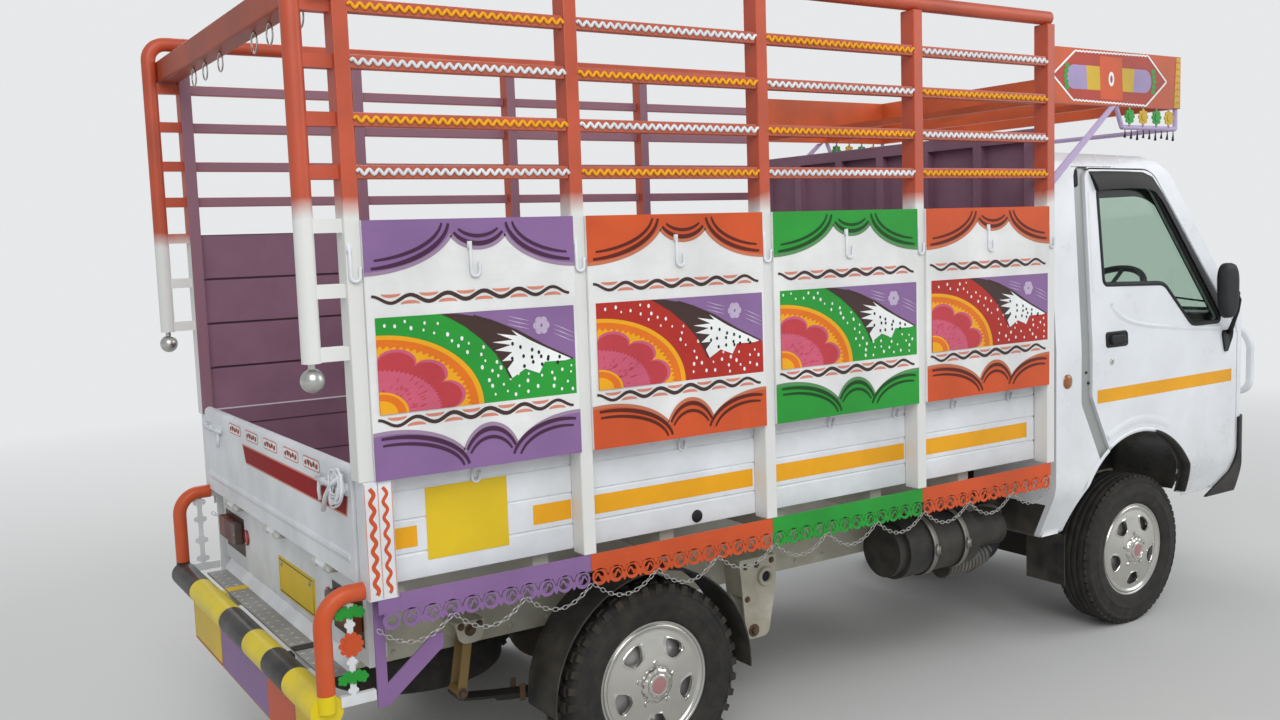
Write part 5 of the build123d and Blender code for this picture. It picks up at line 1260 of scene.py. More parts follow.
shell.make("cab_pressings", CAB_WHITE, slot="white_paint", smooth=True)
marker_rim.make("side_markers", paint("marker_amber", (156, 92, 40), rough=0.2, coat=0.9), slot="lamp_red", smooth=True)
fasteners.make("jamb_fasteners", BLACK, slot="black_plastic", smooth=True)

# Crown side boards: zigzag borders, a striped pill with a flower, and cut flowers and tassels on the drop frame
ZIGZAG_TOP = [(2.739 + 0.445 * i / 44, 2.277 + 0.004 * (i % 2) + 0.004 * i / 44) for i in range(45)]
ZIGZAG_LOW = [(2.729 + 0.445 * i / 44, 2.105 - 0.004 * (i % 2) - 0.008 * i / 44) for i in range(45)]
HEX_REAR, HEX_FRONT = (2.616, 2.189), (3.301, 2.190)
HEXAGON = [HEX_REAR, (2.739, 2.279), (3.184, 2.283), HEX_FRONT, (3.174, 2.097), (2.729, 2.105)]
LOW_Z, HIGH_Z, PILL_R = 2.143, 2.230, 0.0435
PILL_Z = (LOW_Z + HIGH_Z) / 2
CROWN_RED = paint("crown_red", (172, 60, 44), mottle=0.1)
CROWN_LILAC = paint("crown_lilac", (160, 142, 184), mottle=0.08)
CROWN_OCHRE = paint("crown_ochre", (206, 170, 40), mottle=0.08)
CROWN_OUT, CROWN_FRONT = 0.822, 3.395
crown = Canvas(CROWN_OUT)
crown.fill(CROWN_RED, HEXAGON)
for path in (ZIGZAG_TOP, ZIGZAG_LOW):
    crown.line(PAPER, path, 0.0060, 3)
for a, b in (
    (ZIGZAG_TOP[-1], HEX_FRONT), (HEX_FRONT, ZIGZAG_LOW[-1]), (ZIGZAG_LOW[0], HEX_REAR), (HEX_REAR, ZIGZAG_TOP[0])
):
    crown.line(PAPER, [a, ((a[0] + b[0]) / 2, (a[1] + b[1]) / 2), b], 0.0075, 3)
crown.fill(CROWN_LILAC, arc(2.7375, PILL_Z, PILL_R, 90, 270, 15) + [(2.815, LOW_Z), (2.808, HIGH_Z)], 2)
crown.fill(CROWN_LILAC, arc(3.1605, PILL_Z, PILL_R, -90, 90, 15) + [(3.098, HIGH_Z), (3.090, LOW_Z)], 2)
crown.fill(CROWN_OCHRE, [(2.815, LOW_Z), (2.892, LOW_Z), (2.886, HIGH_Z), (2.808, HIGH_Z)], 2)
crown.fill(CROWN_OCHRE, [(3.026, LOW_Z), (3.090, LOW_Z), (3.098, HIGH_Z), (3.020, HIGH_Z)], 2)
crown.fill(ORANGE, [(2.892, 2.112), (3.026, 2.110), (3.020, 2.268), (2.886, 2.268)], 2)
crown.fill(PAPER, oval(2.955, PILL_Z, 0.017, 0.027, 16), 4)
crown.fill(CROWN_RED, oval(2.955, PILL_Z, 0.007, 0.014, 12), 5)
for cx, way in ((2.690, -1), (3.222, 1)):
    for k in range(-2, 3):
        crown.fill(GREEN, oval(cx - way * 0.004 * abs(k), PILL_Z + 0.019 * k, 0.013, 0.0095, 10), 3)
crown.fill(CROWN_OCHRE, [(3.352, 2.093), (3.392, 2.093), (3.392, 2.287), (3.366, 2.287), (3.358, 2.19)], 2)
for k in range(7):
    z = 0.026 * k
    crown.line(ORANGE, [(3.356, 2.105 + z), (3.372, 2.115 + z), (3.390, 2.108 + z)], 0.005, 3, 0.4)
crown.make("crown", "striped_paint")

# Crown front: two panels with a hexagon, a striped oval and a flower
CROWN_TIP = 0.06
PANEL_MID, PANEL_LOW, PANEL_HIGH = 2.19, 2.108, 2.272
crown_front = Board(CROWN_FRONT, 1)
for y0, y1 in ((-0.75, -0.03), (0.03, 0.75)):
    in0, in1, mid_y = y0 + CROWN_TIP, y1 - CROWN_TIP, (y0 + y1) / 2
    for level, way in ((PANEL_HIGH, 1), (PANEL_LOW, -1)):
        teeth = [(in0 + (y1 - y0 - 2 * CROWN_TIP) * i / 60, level + way * 0.005 * (i % 2)) for i in range(61)]
        crown_front.line(PAPER, teeth, 0.0060, 3)
    for end, inner in ((y0, in0), (y1, in1)):
        crown_front.line(PAPER, [(inner, PANEL_LOW), (end, PANEL_MID), (inner, PANEL_HIGH)], 0.0075, 3)
    rim = [(y0, PANEL_MID), (in0, PANEL_LOW), (in1, PANEL_LOW), (y1, PANEL_MID), (in1, PANEL_HIGH), (in0, PANEL_HIGH)]
    crown_front.fill(CROWN_RED, rim)
    for layer, (coat, half, count) in enumerate(((CROWN_LILAC, 0.22, 28), (CROWN_OCHRE, 0.13, 28), (ORANGE, 0.06, 20))):
        crown_front.fill(coat, oval(mid_y, PANEL_MID, half, 0.045, count), layer + 2)
    for y, z in oval(mid_y, PANEL_MID, 0.020, 0.020, 6):
        crown_front.fill(PAPER, oval(y, z, 0.012, 0.012, 10), 5)
crown_front.make("crown_front", "striped_paint")

# Cut flowers, tassels and stems on the crown's drop frame
FLOWER_Z = 2.0525
for coat, stations in ((GREEN, (3.075, 3.245)), (CROWN_OCHRE, (3.160, 3.325))):
    cut = Heap()
    for side in SIDES:
        for x in stations:
            petals(cut, x, FLOWER_Z, 0.0300, 8, side, 0.8165, 0.8205)
            petals(cut, x, FLOWER_Z, 0.0140, 6, side, 0.8205, 0.8230, 0.2)
    cut.make(f"crown_flowers_{coat.name}", coat, slot="striped_paint")
tassels, stems = Heap(), Heap()
for side in SIDES:
    for k in range(9):
        tip = at(3.055 + 0.0385 * k, side * 0.8130, 2.0030)
        ends = (tip + Vector((0.001, 0, -0.012)), tip + Vector((-0.001, 0, -0.030 - 0.004 * (k % 3))))
        tassels.tube([tip, *ends], [0.0016, 0.0022, 0.0052], 7)
    for x in (3.075, 3.160, 3.245, 3.325):
        stems.tube([at(x, side * 0.8175, z) for z in (2.0150, 2.0895)], 0.0032, 7)
tassels.make("crown_tassels", SOOT, slot="black_plastic", smooth=True)
stems.make("crown_stems", LAVENDER, slot="mauve_paint", smooth=True)

# Tailgate: red band, small cartouches under the top tube, bolts with their staples, and a ledge
GATE_RED = paint("gate_red", (150, 20, 20), rough=0.6, coat=0, gloss=0.15)
BUD_Z = 1.0675
LATCH_Z = 1.040
GATE_X = -0.0353
gate = Board(GATE_X, -1, "tailgate")
gate.fill(SALMON, [(0.272, 1.032), (0.240, 0.970), (-0.728, 0.968), (-0.744, 1.030)], 1)
gate.fill(GATE_RED, [(0.262, 1.027), (0.236, 0.975), (-0.722, 0.973), (-0.736, 1.025)], 2)
for cy in (0.355, 0.150, -0.055, -0.264, -0.453):
    gate.fill(SALMON, soft_rect(cy - 0.074, 1.050, cy + 0.074, 1.085, 0.013, 4), 1)
    gate.fill(PAPER, soft_rect(cy - 0.070, 1.054, cy + 0.070, 1.081, 0.010, 4), 2)
    for k in range(5):
        coat, lift = (BROWN, 0.002) if k % 2 else (RED, -0.002)
        gate.fill(coat, oval(cy - 0.048 + 0.024 * k, BUD_Z + lift, 0.0100, 0.0075, 12), 3)
    stem = [(cy - 0.060 + 0.120 * i / 22, BUD_Z + 0.008 * sin(1.15 * i)) for i in range(23)]
    gate.line(RED, stem, 0.0034, 4, 0.5)
gate.make("gate_bands", "striped_paint")
latch, ledge, bundle = Heap(), Heap(), Heap()
for way in SIDES:
    latch.tube([at(-0.0445, way * y, LATCH_Z) for y in (0.520, 0.600, 0.680, 0.744)], 0.0065, 10)
    lever = ((-0.0445, 0.545, LATCH_Z), (-0.0470, 0.545, 1.012), (-0.0470, 0.552, 0.985))
    latch.tube([at(x, way * y, z) for x, y, z in lever], 0.0055, 9)
    for y in (0.575, 0.655, 0.728):
        latch.box((-0.0500, way * y - 0.010, LATCH_Z - 0.010), (GATE_X, way * y + 0.010, LATCH_Z + 0.010))
    latch.box((-0.0372, way * 0.640 - 0.105, 1.024), (-0.0350, way * 0.640 + 0.105, 1.056))
    for y in (0.05, 0.26, 0.47):
        latch.tube([at(x, way * y, 0.862) for x in (-0.0375, -0.0345)], 0.0045, 8)
latch.make("gate_latches", WHITE, "tailgate", "white_paint", True)
ledge.bar(-0.735, 0.735, ((-0.0352, 0.874), (-0.0392, 0.869), (-0.0400, 0.860), (-0.0352, 0.846)), False)
ledge.make("gate_ledge", GATE_WHITE, "tailgate", "white_paint")

# A stiff coil of wire with a bent rod at the tailgate's right corner
WIRE = random.Random(3)
ROD = ((-0.0500, -0.742, 1.078), (-0.0590, -0.690, 1.052), (-0.0600, -0.640, 1.012), (-0.0560, -0.600, 0.968))
for turn in range(13):
    reach = WIRE.uniform(0.028, 0.050) * 0.9
    tilt = WIRE.uniform(-0.5, 0.5)
    drop = WIRE.uniform(-0.014, 0.014)
    slide = WIRE.uniform(-0.012, 0.012)
    loop = []
    for a in turns(28):
        size = reach * (1 + 0.10 * sin(3 * a + turn))
        x = -0.0550 + 0.0065 * sin(a + tilt) - 0.0015 * (turn % 4)
        loop.append(at(x, -0.715 + slide + size * cos(a), 1.043 + drop + size * sin(a + tilt)))
    bundle.tube(loop, 0.0027, 6, closed=True)
bundle.tube([at(*point) for point in ROD], 0.0072, 9)
bundle.make("wire_bundle", WHITE, "tailgate", "white_paint", True)

# Rear panel, plates and the board under the pipe, all blank
BACKWARD = (-1, 0, 0)
SIGN_Z = (0.304, 0.453)
SIGN_PANELS = (
    (PLATE_YELLOW, 0.275, 0.655), (PURPLE, -0.255, 0.275), (ORANGE, -0.520, -0.255), (PLATE_YELLOW, -0.655, -0.520)
)
REFLECTOR = ((0.0270, 0.0), (0.0270, 0.0050), (0.0240, 0.0065), (0.0, 0.0070))
KICK = ((-0.0010, 0.5620), (-0.0040, 0.5620), (-0.0280, 0.5310), (-0.0250, 0.5310))
PANEL_X, PLATE_X, SIGN_X = -0.0005, -0.0043, -0.1423
# Painted shade: a flat dark brown patch on the panel round each tail lamp stands for the shade of a recess.
surround_shade = Board(PANEL_X)
for way in SIDES:
    surround_shade.fill(BROWN, rect(way * 0.462, 0.606, way * 0.704, 0.738))
surround_shade.make("rear_lamp_surround_shade", "black_plastic")
plate = Board(PLATE_X)
edge = rect(-0.292, 0.592, 0.042, 0.693)
plate.line(SOOT, edge + edge[:1], 0.0030)
plate.make("plate_edge", "plate_paint")
sign = Board(SIGN_X)
for coat, y0, y1 in SIGN_PANELS:
    sign.fill(coat, rect(y0, SIGN_Z[0], y1, SIGN_Z[1]))
for coat, y0, y1 in SIGN_PANELS[::3]:
    edge = rect(y0 + 0.004, SIGN_Z[0] + 0.004, y1 - 0.004, SIGN_Z[1] - 0.004)
    sign.line(RED, edge + edge[:1], 0.007, 2)
sign.make("sign_panels", "plate_paint")
tail, screws, sill_strip = Heap(), Heap(), Heap()
for way in SIDES:
    tail.turned(REFLECTOR, at(PANEL_X, way * 0.430, 0.682), BACKWARD, 28)
    for y in (0.4935, 0.6865):
        screws.turned(((0.0045, 0.0), (0.0045, 0.002), (0.0, 0.003)), at(-0.0282, way * y, 0.684), BACKWARD, 10)
for x, z, ys in ((-0.0045, 0.680, (-0.265, 0.015)), (-0.1425, 0.440, (-0.62, -0.2, 0.2, 0.62))):
    for y in ys:
        bolt(screws, at(x, y, z), BACKWARD, 0.005, 0.004)
sill_strip.box((-0.0015, -0.730, 0.7455), (-0.0003, 0.730, 0.7750))
sill_strip.bar(-0.660, 0.660, KICK)
sill_strip.make("rear_sill", WHITE, slot="white_paint")
for coat, y in ((PLATE_YELLOW, 0.366), (BLACK, -0.366)):
    strap = Heap()
    strap.box((-0.0940, y - 0.020, 0.5301), (-0.0270, y + 0.020, 0.5330))
    strap.make(f"deck_strap_{coat.name}", coat, slot="striped_paint")
tail.make("rear_reflectors", LAMP_RED, slot="lamp_red", smooth=True)
screws.make("rear_screws", STEEL, slot="bright_steel")

# Hoop strips: white lobed sheet, with three cut flowers on the right side
HOOP_X = -0.070
LOBES = {-1: (0.014, (0.540, 0.614, 0.710, 0.758)), 1: (0.0225, (0.545, 0.612, 0.690, 0.752))}
strips, leaves, bloom = Heap(), Heap(), Heap()
for side in SIDES:
    levels = [0.531 + 0.232 * i / 40 for i in range(41)]
    strip = [(HOOP_X + 0.0080, z) for z in levels] + [(HOOP_X - 0.0080, z) for z in levels[::-1]]
    prism(strips, strip, side, 0.7985, 0.8015)
    for z in LOBES[side][1]:
        petals(strips, HOOP_X, z, LOBES[side][0], 4, side, 0.7980, 0.8020, 0.42)
    prism(strips, rect(-0.1045, 0.5030, -0.0125, 0.5298), side, 0.7900, 0.8060)
for z in (0.574, 0.742):
    for k in range(-2, 3):
        cz = z + 0.006 * (abs(k) % 2) - 0.002
        petals(leaves, HOOP_X + 0.0125 * k, cz, 0.0155, 5, -1, 0.8015, 0.8040 + 0.0005 * (k + 2), 0.35)
petals(bloom, HOOP_X, 0.659, 0.0330, 10, -1, 0.8020, 0.8042, 0.22)
petals(bloom, HOOP_X, 0.659, 0.0200, 6, -1, 0.8042, 0.8056)
strips.make("hoop_strips", WHITE, slot="white_paint", stands_for=("hoop_ornaments",))
leaves.make("hoop_leaves", GREEN, slot="striped_paint")
bloom.make("hoop_bloom", ORANGE, slot="striped_paint")

# Step deck: raised chequer bars
DECK_Z = 0.5302
chequer = Heap()
for i in range(26):
    for j in range(3):
        x, y = -0.082 + 0.030 * j, -0.61 + 1.22 * i / 25
        tilt = 0.7 if (i + j) % 2 else -0.7
        long_x, long_y = 0.0115 * cos(tilt), 0.0115 * sin(tilt)
        wide_x, wide_y = 0.0032 * sin(tilt), 0.0032 * cos(tilt)
        foot = [
            at(x - long_x, y - long_y, DECK_Z), at(x + wide_x, y - wide_y, DECK_Z),
            at(x + long_x, y + long_y, DECK_Z), at(x - wide_x, y + wide_y, DECK_Z),
        ]
        chequer.add(foot + [at(x, y, 0.5318)], [(0, 1, 4), (1, 2, 4), (2, 3, 4), (3, 0, 4)])
CHEQUER = paint("chequer_steel", (196, 196, 192), rough=0.45, coat=0, mottle=0.1)
chequer.make("deck_chequer", CHEQUER, slot="bright_steel")

# Nose: louvred panel, lamp bowls, indicators, windscreen rubber, wipers and a blank plate
# The cab's front edge in front of the seats, as rows of (height, station)
NOSE = (
    (0.46, 4.060), (0.800, 4.0595), (0.900, 4.0500), (0.960, 4.0430), (1.020, 4.0220), (1.120, 3.9850), (1.200, 3.9550)
)
LAMP_BOWLS = ((0.575, 0.990, 0.050), (0.530, 0.950, 0.024))
LAMP_MID = (0.595, 0.988)
LAMP_EDGE = rounded(((0.470, 0.905, 0.040), (0.520, 1.050, 0.050), (0.690, 1.075, 0.050), (0.700, 0.925, 0.040)))
LAMP_RIM = ((1.035, 0.0004), (1.030, 0.0045), (1.000, 0.0078), (0.965, 0.0068), (0.955, 0.0050))


def nose(z):
    """Station of the cab's front at a height, in front of the seats."""
    return reading(NOSE, z)


def front(y, z):
    """Station of the cab's front at a place, where the corners fall back."""
    return min(nose(z), 4.066 - 0.4327 * max(0.0, abs(y) - 0.540))


grille, lamp_bowls, rims = Heap(), Heap(), Heap()
for row in range(6):
    z = 0.925 + 0.022 * row
    for y0, y1 in ((-0.360, -0.020), (0.020, 0.360)):
        grille.tube([at(nose(z) + 0.0045, y0 + (y1 - y0) * i / 8, z) for i in range(9)], 0.0048, 8)
for row in range(10):
    z0, z1 = (0.905 + 0.0145 * k for k in (row, row + 1))
    grille.polygon([at(front(y, z) + 0.0012, y, z) for y, z in rect(-0.385, z0, 0.385, z1)])
grille.make("nose_louvres", BLACK, slot="black_plastic", smooth=True)
for way in SIDES:
    for cy, cz, r in LAMP_BOWLS:
        rows = ((r, 0.0), (r * 0.96, 0.0020), (r * 0.90, 0.0008), (r * 0.5, 0.0004), (0.0, 0.0016))
        lamp_bowls.turned(rows, at(nose(cz) + 0.0068, way * cy, cz), (1, 0, 0.36), 32)
    rings = []
    for share, lift in LAMP_RIM:
        line = [[mid + (value - mid) * share for value, mid in zip(point, LAMP_MID)] for point in LAMP_EDGE]
        rings.append([at(front(y, z) + lift, way * y, z) for y, z in line])
    rims.stitch(rings)
lamp_bowls.make("lamp_rings", CHROME, slot="bright_steel", smooth=True)
rims.make("lamp_rims", BLACK, slot="black_plastic", smooth=True)

# Windscreen rubber and wipers, on the screen's plane
SCREEN_OUT = Vector((0.710, 0.0, 0.560)).normalized()
SCREEN_UP = Vector((-0.560, 0.0, 0.710)).normalized()
SCREEN_MID = at(3.675, 0.0, 1.555)
PANE = rounded(((-0.695, -0.365, 0.060), (0.695, -0.365, 0.060), (0.645, 0.290, 0.090), (-0.645, 0.290, 0.090)), 8)
SCREEN_RUBBER = ((-0.006, -0.012), (-0.005, -0.002), (0.0, 0.0030), (0.007, 0.0030), (0.012, -0.0005))
PIVOT = ((0.012, 0.0), (0.012, 0.010), (0.007, 0.014), (0.0, 0.014))


def on_screen(y, v, lift):
    """A point on the windscreen's plane."""
    return SCREEN_MID + Vector((0, y, 0)) + SCREEN_UP * v + SCREEN_OUT * lift


screen_trim = Heap()
verts = []
for y, v, ny, nv in normals(PANE, True):
    verts += [on_screen(y - ny * d, v - nv * d, lift) for d, lift in SCREEN_RUBBER]
screen_trim.add(verts, lattice(len(PANE), len(SCREEN_RUBBER), True, False))
for foot in (-0.300, 0.330):
    tip = foot - 0.17
    knee = on_screen(tip, -0.300, 0.007)
    screen_trim.turned(PIVOT, on_screen(foot, -0.398, -0.004), SCREEN_OUT, 16)
    arm = [on_screen(foot, -0.398, 0.007), on_screen(foot - 0.0748, -0.372, 0.010), knee]
    screen_trim.tube(arm, [0.0055, 0.005, 0.0036], 8)
    blade = [on_screen(tip - 0.19, -0.322, -0.0085), on_screen(tip + 0.21, -0.268, -0.0085)]
    screen_trim.tube(blade, 0.0042, 8)
    screen_trim.tube([knee, on_screen(tip + 0.010, -0.294, -0.0070)], 0.0034, 7)
screen_trim.make("screen_trim", BLACK, slot="black_plastic", smooth=True)
indicator, number = Heap(), Heap()
LENS = ((0.460, 0.0015), (0.466, 0.0065), (0.580, 0.0065), (0.586, 0.0015))
for way in SIDES:
    for levels in ((0.835, 0.8475), (0.8475, 0.860)):
        points = [at(front(y, z) + lift, way * y, z) for z in levels for y, lift in LENS]
        indicator.add(points, lattice(2, len(LENS), ring=False))
indicator.make("front_indicators", LAMP_AMBER, slot="lamp_red")
number.box((4.0705, -0.250, 0.735), (4.0735, 0.250, 0.8500))
number.make("front_plate", PLATE_YELLOW, slot="plate_paint")

# Running gear: pins and their nuts, boss rings with painted shade in their holes, U bolts and rail rivets
HANGER_Y = 0.493
RAIL_Y = 0.400
SPRING_Y = 0.455
AXLE_X = 0.883
U_RADIUS = 0.0445
PINS = ((1.455, 0.291, 0.0135), (0.394, 0.518, 0.011))
PLATE_BOLTS = ((1.424, 0.520), (1.472, 0.520), (1.538, 0.526), (1.430, 0.405), (0.365, 0.532), (0.424, 0.532))
BOSS = ((0.034, 0.0), (0.034, 0.008), (0.031, 0.011), (0.021, 0.011), (0.019, 0.008), (0.019, 0.0))
RIVET = ((0.0085, 0.0), (0.0075, 0.0035), (0.0040, 0.0052), (0.0, 0.0056))
gear, rust, dark = Heap(), Heap(), Heap()
for side in SIDES:
    axis = (0, side, 0)
    for x, z, r in PINS:
        bolt(rust, at(x, side * HANGER_Y, z), axis, r, 0.014, r * 1.7)
    bolt(rust, at(0.362, side * 0.4848, 0.327), axis, 0.011, 0.013, 0.018)
    gear.knob(BOSS, 1.509, HANGER_Y, 0.474, side, 32)
    # Painted shade: a flat black disc inside the boss ring stands for its shaded hole.
    dark.knob(((0.0185, 0.0015), (0.0, 0.0015)), 1.509, HANGER_Y, 0.474, side, 24)
    for x, z in PLATE_BOLTS:
        bolt(rust, at(x, side * HANGER_Y, z), axis, 0.0075, 0.007)
    for i in range(21):
        x = 0.060 + 0.128 * i
        if not (1.38 < x < 1.58 or 0.33 < x < 0.46):
            for z in (0.470, 0.538):
                gear.knob(RIVET, x, RAIL_Y, z, side, 10)
    mid = side * SPRING_Y
    for dy in (-0.0345, 0.0345):
        for way in SIDES:
            foot = [at(AXLE_X + way * U_RADIUS, mid + dy * 1.02, z) for z in (0.2130, 0.2380)]
            rust.tube(foot, 0.0095, 6)
        u_line = [(AXLE_X + U_RADIUS, 0.225), *arc(AXLE_X, WHEEL_Z, U_RADIUS, 0, 180, 12), (AXLE_X - U_RADIUS, 0.225)]
        rust.tube([at(x, mid + dy, z) for x, z in u_line], 0.0062, 9)
    rust.box((0.825, mid - 0.046, 0.2215), (0.941, mid + 0.046, 0.2290))
    for x in (0.56, 0.72, 1.09, 1.25):
        z = 0.254 + (x - 0.9085) ** 2 / 3.5
        for y0, y1 in ((-0.0335, -0.0300), (0.0300, 0.0335)):
            rust.box((x - 0.009, mid + y0, z - 0.030), (x + 0.009, mid + y1, z + 0.022))
gear.make("rail_rivets", FRAME_CREAM, slot="frame_grey", smooth=True)
OLD_IRON = paint("old_iron", (98, 78, 60), rough=0.7, coat=0, mottle=0.2)
rust.make("spring_bolts", OLD_IRON, slot="bare_iron")
dark.make("boss_hole_shade", SOOT, slot="dark_metal")

# Straps round the air cleaner and the fuel tank
STRAP = ((0.1138, 0.002), (0.1152, 0.002), (0.1152, 0.024), (0.1138, 0.024))
FILLER = ((0.030, 0.0), (0.030, 0.012), (0.026, 0.016), (0.0, 0.017))
TANK = rounded([(y, z, 0.046) for y, z in rect(0.4025, 0.3285, 0.7055, 0.6415)])
straps = Heap()
for x in (2.120, 2.280):
    straps.turned(STRAP, at(x, -0.590, 0.500), (1, 0, 0), 56)
    straps.box((x + 0.004, -0.715, 0.486), (x + 0.022, -0.700, 0.514))
    straps.tube([at(x + 0.013, -0.7085, z) for z in (0.478, 0.522)], 0.0042, 8)
for x in (1.850, 2.200):
    straps.stitch([[at(x + dx, y, z) for y, z in TANK] for dx in (-0.014, 0.014)])
straps.knob(FILLER, 2.05, 0.7035, 0.565, 1, 24)
STRAP_STEEL = metal("strap_steel", (150, 148, 142), 0.45, 0.9, 0.5)
straps.make("straps", STRAP_STEEL, slot="bright_steel", smooth=True)

# Rings along the air hose, on a smooth curve through the modelled hose's points
HOSE = ((2.300, -0.560, 0.385), (2.440, -0.560, 0.380), (2.560, -0.560, 0.420), (2.640, -0.500, 0.560))
HOSE_STEPS = 84
bent = bpy.data.curves.new("hose_line", "CURVE")
bent.dimensions = "3D"
spline = bent.splines.new("NURBS")
spline.points.add(len(HOSE) - 1)
for point, place in zip(spline.points, HOSE):
    point.co = (*at(*place), 1)
spline.order_u = 3
spline.use_endpoint_u = True
spline.resolution_u = 16
holder = bpy.data.objects.new("hose_line", bent)
bpy.context.scene.collection.objects.link(holder)
hose_points = [v.co.copy() for v in bpy.data.meshes.new_from_object(holder).vertices]
bpy.data.objects.remove(holder)


def ring_places(length):
    return [min(length - 1e-6, 0.012 + (length - 0.030) * i / HOSE_STEPS) for i in range(HOSE_STEPS + 1)]


bellows = Heap()
line = [point for point, _ in along_path(hose_points, ring_places)]
bellows.tube(line, [0.0515 + 0.0022 * (1 if i % 4 in (1, 2) else -1) for i in range(len(line))], 26, caps=False)
HOSE_GREY = paint("hose_grey", (96, 96, 94), rough=0.7, coat=0, mottle=0.15, dust=0.5)
bellows.make("hose_rings", HOSE_GREY, slot="black_plastic", smooth=True)

# Small hooks and a plug on the tray's sides
small, plug = Heap(), Heap()
for side in SIDES:
    for x in (0.300, 0.970, 1.560, 1.850, 2.130, 2.420):
        bend = [(x - 0.011, 1.060), (x - 0.011, 1.040), *arc(x, 1.034, 0.011, 180, 360, 9), (x + 0.011, 1.050)]
        small.tube([at(px, side * 0.7905, pz) for px, pz in bend], 0.0036, 8)
        small.knob(((0.0075, 0.0), (0.0075, 0.004), (0.0, 0.005)), x - 0.011, TRAY_OUT, 1.058, side, 10)
    plug.knob(((0.019, 0.0), (0.019, 0.003), (0.014, 0.006), (0.0, 0.005)), 1.020, TRAY_OUT, 0.815, side, 20)
small.make("tray_hooks", WHITE, slot="white_paint", smooth=True)
plug.make("tray_plugs", SOOT, slot="black_plastic", smooth=True)

# Seats: foam pads with a sewn channel pattern and piped edges
FABRIC = paint("seat_fabric", (74, 74, 80), rough=0.85, coat=0, mottle=0.12)
PIPING = paint("seat_piping", (40, 40, 44), rough=0.6, coat=0)
SEAT_Y, SEAT_HALF_W = 0.370, 0.239
PAD_EDGE, PAD_CROWN = 0.034, 0.022
SIDE_SEAMS = (-0.52, 0.52)
CROSS_SEAMS = (-0.62, -0.2, 0.22, 0.64)


def seam_dip(place, seam):
    return exp(-(((place - seam) / 0.030) ** 2))


def pad(name, low, high, face):
    """A crowned cushion between two corners. face is the axis that the sitter leans on: 2 up, 0 forward."""
    grid = bmesh.new()
    bmesh.ops.create_cube(grid, size=2)
    bmesh.ops.subdivide_edges(grid, edges=grid.edges[:], cuts=26, use_grid_fill=True)
    mid = (Vector(low) + Vector(high)) / 2
    half = (Vector(high) - Vector(low)) / 2
    across, along = (1, 0) if face == 2 else (1, 2)
    for v in grid.verts:
        raw = Vector([v.co[i] * half[i] for i in range(3)])
        core = Vector([max(PAD_EDGE - half[i], min(half[i] - PAD_EDGE, raw[i])) for i in range(3)])
        off = raw - core
        spot = core + (off.normalized() * PAD_EDGE if off.length > 1e-9 else off)
        u, w = spot[across] / half[across], spot[along] / half[along]
        if v.co[face] > 0.9:
            spot[face] += PAD_CROWN * ((1 - u * u) * (1 - w * w) - 1) * 0.9
            spot[face] -= 0.0085 * sum(seam_dip(u, seam) for seam in SIDE_SEAMS) * (1 - w ** 8)
            if abs(u) < 0.52:
                spot[face] -= 0.0055 * sum(seam_dip(w, seam) for seam in CROSS_SEAMS)
        spot[across] *= 1 - 0.030 * (1 - w * w) * abs(u) ** 3
        spot[along] *= 1 - 0.025 * (1 - u * u) * abs(w) ** 3
        v.co = at(*(mid + spot))
    mesh = bpy.data.meshes.new(name)
    grid.to_mesh(mesh)
    grid.free()
    piece = show(name, mesh, FABRIC, slot="seat_vinyl", smooth=True)
    return piece


for side, name in SIDE_NAMES:
    y0, y1 = side * SEAT_Y - SEAT_HALF_W, side * SEAT_Y + SEAT_HALF_W
    cushion = pad(f"seat_cushion_{name}", (2.901, y0, 0.851), (3.399, y1, 0.970), 2)
    if name == "right":
        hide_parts("seats")
    pad(f"seat_back_{name}", (2.781, y0, 0.851), (2.894, y1, 1.489), 0)
pipe = Heap()
for side in SIDES:
    edge = rounded([(x, y, PAD_EDGE) for x, y in rect(2.905, side * SEAT_Y - 0.235, 3.392, side * SEAT_Y + 0.235)])
    pipe.tube([at(x, y, 0.948) for x, y in edge], 0.0035, 7, closed=True)
pipe.make("seat_piping", PIPING, slot="seat_vinyl", smooth=True)

# Dashboard fittings: hooded dials, vents and a lower rail
HOOD = ((0.052, 0.0), (0.052, 0.016), (0.047, 0.018), (0.044, 0.006), (0.044, 0.0))
DIAL_AXIS = (-1, 0, 0.25)
DIAL_FACE = paint("dial_face", (16, 17, 20), rough=0.2, coat=0.4)
fittings, dials = Heap(), Heap()
for y in (-0.445, -0.315):
    fittings.turned(HOOD, at(3.668, y, 1.150), DIAL_AXIS, 32)
    dials.turned(((0.043, 0.004), (0.0, 0.004)), at(3.668, y, 1.150), DIAL_AXIS, 28)
for y in (-0.640, -0.060, 0.140, 0.600):
    for k in range(5):
        slat = [at(3.6545 + 0.0040 * k, y + dy, 1.080 + 0.012 * k) for dy in (-0.045, 0.045)]
        fittings.tube(slat, 0.0032, 7)
for y in (-0.235, 0.325):
    fittings.tube([at(3.650, y + dy, 1.030) for dy in (-0.12, 0.12)], 0.005, 8)
fittings.make("dash_fittings", BLACK, slot="black_plastic", smooth=True)
dials.make("dash_dials", DIAL_FACE, slot="black_plastic")

# Softened edges on folded and welded pieces
SOFT_EDGES = {
    "cage_posts": 0.0030, "cage_rails": 0.0030, "side_boards": 0.0015, "corner_boards": 0.0015,
    "headboard": 0.0020, "rear_beam": 0.0040, "crown_box": 0.0025, "chassis_frame": 0.0025,
    "cross_members": 0.0020, "tray_sides": 0.0015, "rear_panel": 0.0012,
}
for name, width in SOFT_EDGES.items():
    weld = nodes[name].modifiers.new("weld", "WELD")
    weld.merge_threshold = 0.00002
    soft = nodes[name].modifiers.new("soft", "BEVEL")
    soft.width = width
    soft.segments = 2
    soft.limit_method = "ANGLE"
    soft.angle_limit = radians(50)

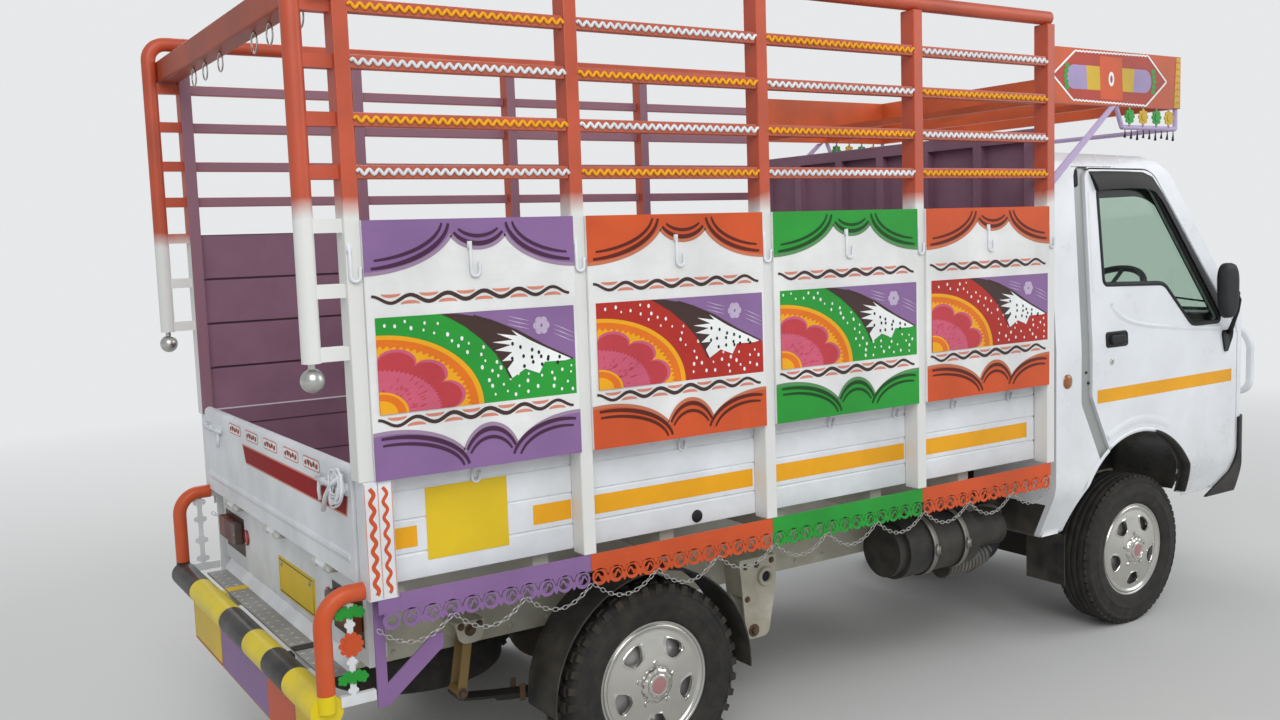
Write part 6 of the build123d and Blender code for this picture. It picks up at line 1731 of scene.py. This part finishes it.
# Camera at the photograph's place
CAM_PLACE = (-2.9912, -3.6453, 1.6495)
CAM_YAW = radians(32.86)
CAM_PITCH = radians(-5.81)
CAM_ROLL = radians(-1.95)
FOCAL_PIXELS, FRAME_PIXELS, SENSOR = 1186, 1280, 36
ahead = Vector((sin(CAM_YAW) * cos(CAM_PITCH), cos(CAM_YAW) * cos(CAM_PITCH), sin(CAM_PITCH)))
level_right = Vector((cos(CAM_YAW), -sin(CAM_YAW), 0))
level_up = level_right.cross(ahead)
right = level_right * cos(CAM_ROLL) + level_up * sin(CAM_ROLL)
up = level_up * cos(CAM_ROLL) - level_right * sin(CAM_ROLL)
camera = bpy.data.objects.new("camera", bpy.data.cameras.new("camera"))
camera.data.lens = FOCAL_PIXELS / FRAME_PIXELS * SENSOR
camera.data.sensor_width = SENSOR
camera.matrix_world = Matrix.Translation(CAM_PLACE) @ Matrix((right, up, -ahead)).transposed().to_4x4()
bpy.context.scene.collection.objects.link(camera)
bpy.context.scene.camera = camera

# Floor, which fades into a pale backdrop far from the truck
PALE = (0.80, 0.81, 0.82, 1)
FADE = (3.6, 9.0)
s = Shader("studio_floor")
s.finish((206, 206, 204), 0.85, 0, 0, 0.2)
rays = s.node("ShaderNodeLightPath").outputs
seen = s.math("MAXIMUM", rays["Is Camera Ray"], rays["Is Glossy Ray"])
seen = s.math("MAXIMUM", seen, rays["Is Transmission Ray"])
away = s.node("ShaderNodeVectorMath", operation="LENGTH")
s.put(away, {0: s.place})
glow = s.node("ShaderNodeEmission")
s.put(glow, {"Color": PALE})
blend = s.node("ShaderNodeMixShader")
fade = Value(s, away.outputs["Value"]).ramp(*FADE) * seen
s.put(blend, {0: fade, 1: s.body.outputs["BSDF"], 2: glow.outputs["Emission"]})
s.put(s.tree.nodes["Material Output"], {"Surface": blend.outputs["Shader"]})
bpy.ops.mesh.primitive_plane_add(size=60)
floor_plane = bpy.context.object
floor_plane.name = "studio_floor"
floor_plane.data.materials.append(s.material)

# World light, with the pale backdrop for what the camera sees
world = bpy.data.worlds.new("studio")
world.use_nodes = True
sky = world.node_tree
lighting = sky.nodes["Background"]
lighting.inputs["Color"].default_value = (0.86, 0.89, 0.93, 1)
lighting.inputs["Strength"].default_value = 0.60
backdrop = sky.nodes.new("ShaderNodeBackground")
backdrop.inputs["Color"].default_value = PALE
rays = sky.nodes.new("ShaderNodeLightPath").outputs
either = sky.nodes.new("ShaderNodeMath")
either.operation = "MAXIMUM"
sky_mix = sky.nodes.new("ShaderNodeMixShader")
for source, target in (
    (rays["Is Camera Ray"], either.inputs[0]),
    (rays["Is Transmission Ray"], either.inputs[1]),
    (either.outputs[0], sky_mix.inputs[0]),
    (lighting.outputs["Background"], sky_mix.inputs[1]),
    (backdrop.outputs["Background"], sky_mix.inputs[2]),
    (sky_mix.outputs["Shader"], sky.nodes["World Output"].inputs["Surface"]),
):
    sky.links.new(source, target)
bpy.context.scene.world = world

# Studio lamps: name, place, aim, size, power
for name, place, aim, size, power in (
    ("key", (-3.5, -6.5, 6.0), (0.3, 0, 1.0), 5.0, 330),
    ("fill", (6.5, -4.5, 4.5), (0.5, 0, 1.0), 5.0, 160),
    ("back", (0.5, 7.0, 6.0), (0, 0, 1.2), 5.0, 260),
):
    lamp = bpy.data.objects.new(name, bpy.data.lights.new(name, "AREA"))
    lamp.data.size = size
    lamp.data.energy = power
    lamp.location = place
    lamp.rotation_mode = "QUATERNION"
    lamp.rotation_quaternion = (Vector(place) - Vector(aim)).to_track_quat("Z", "Y")
    bpy.context.scene.collection.objects.link(lamp)
bpy.context.scene.view_settings.view_transform = "Standard"
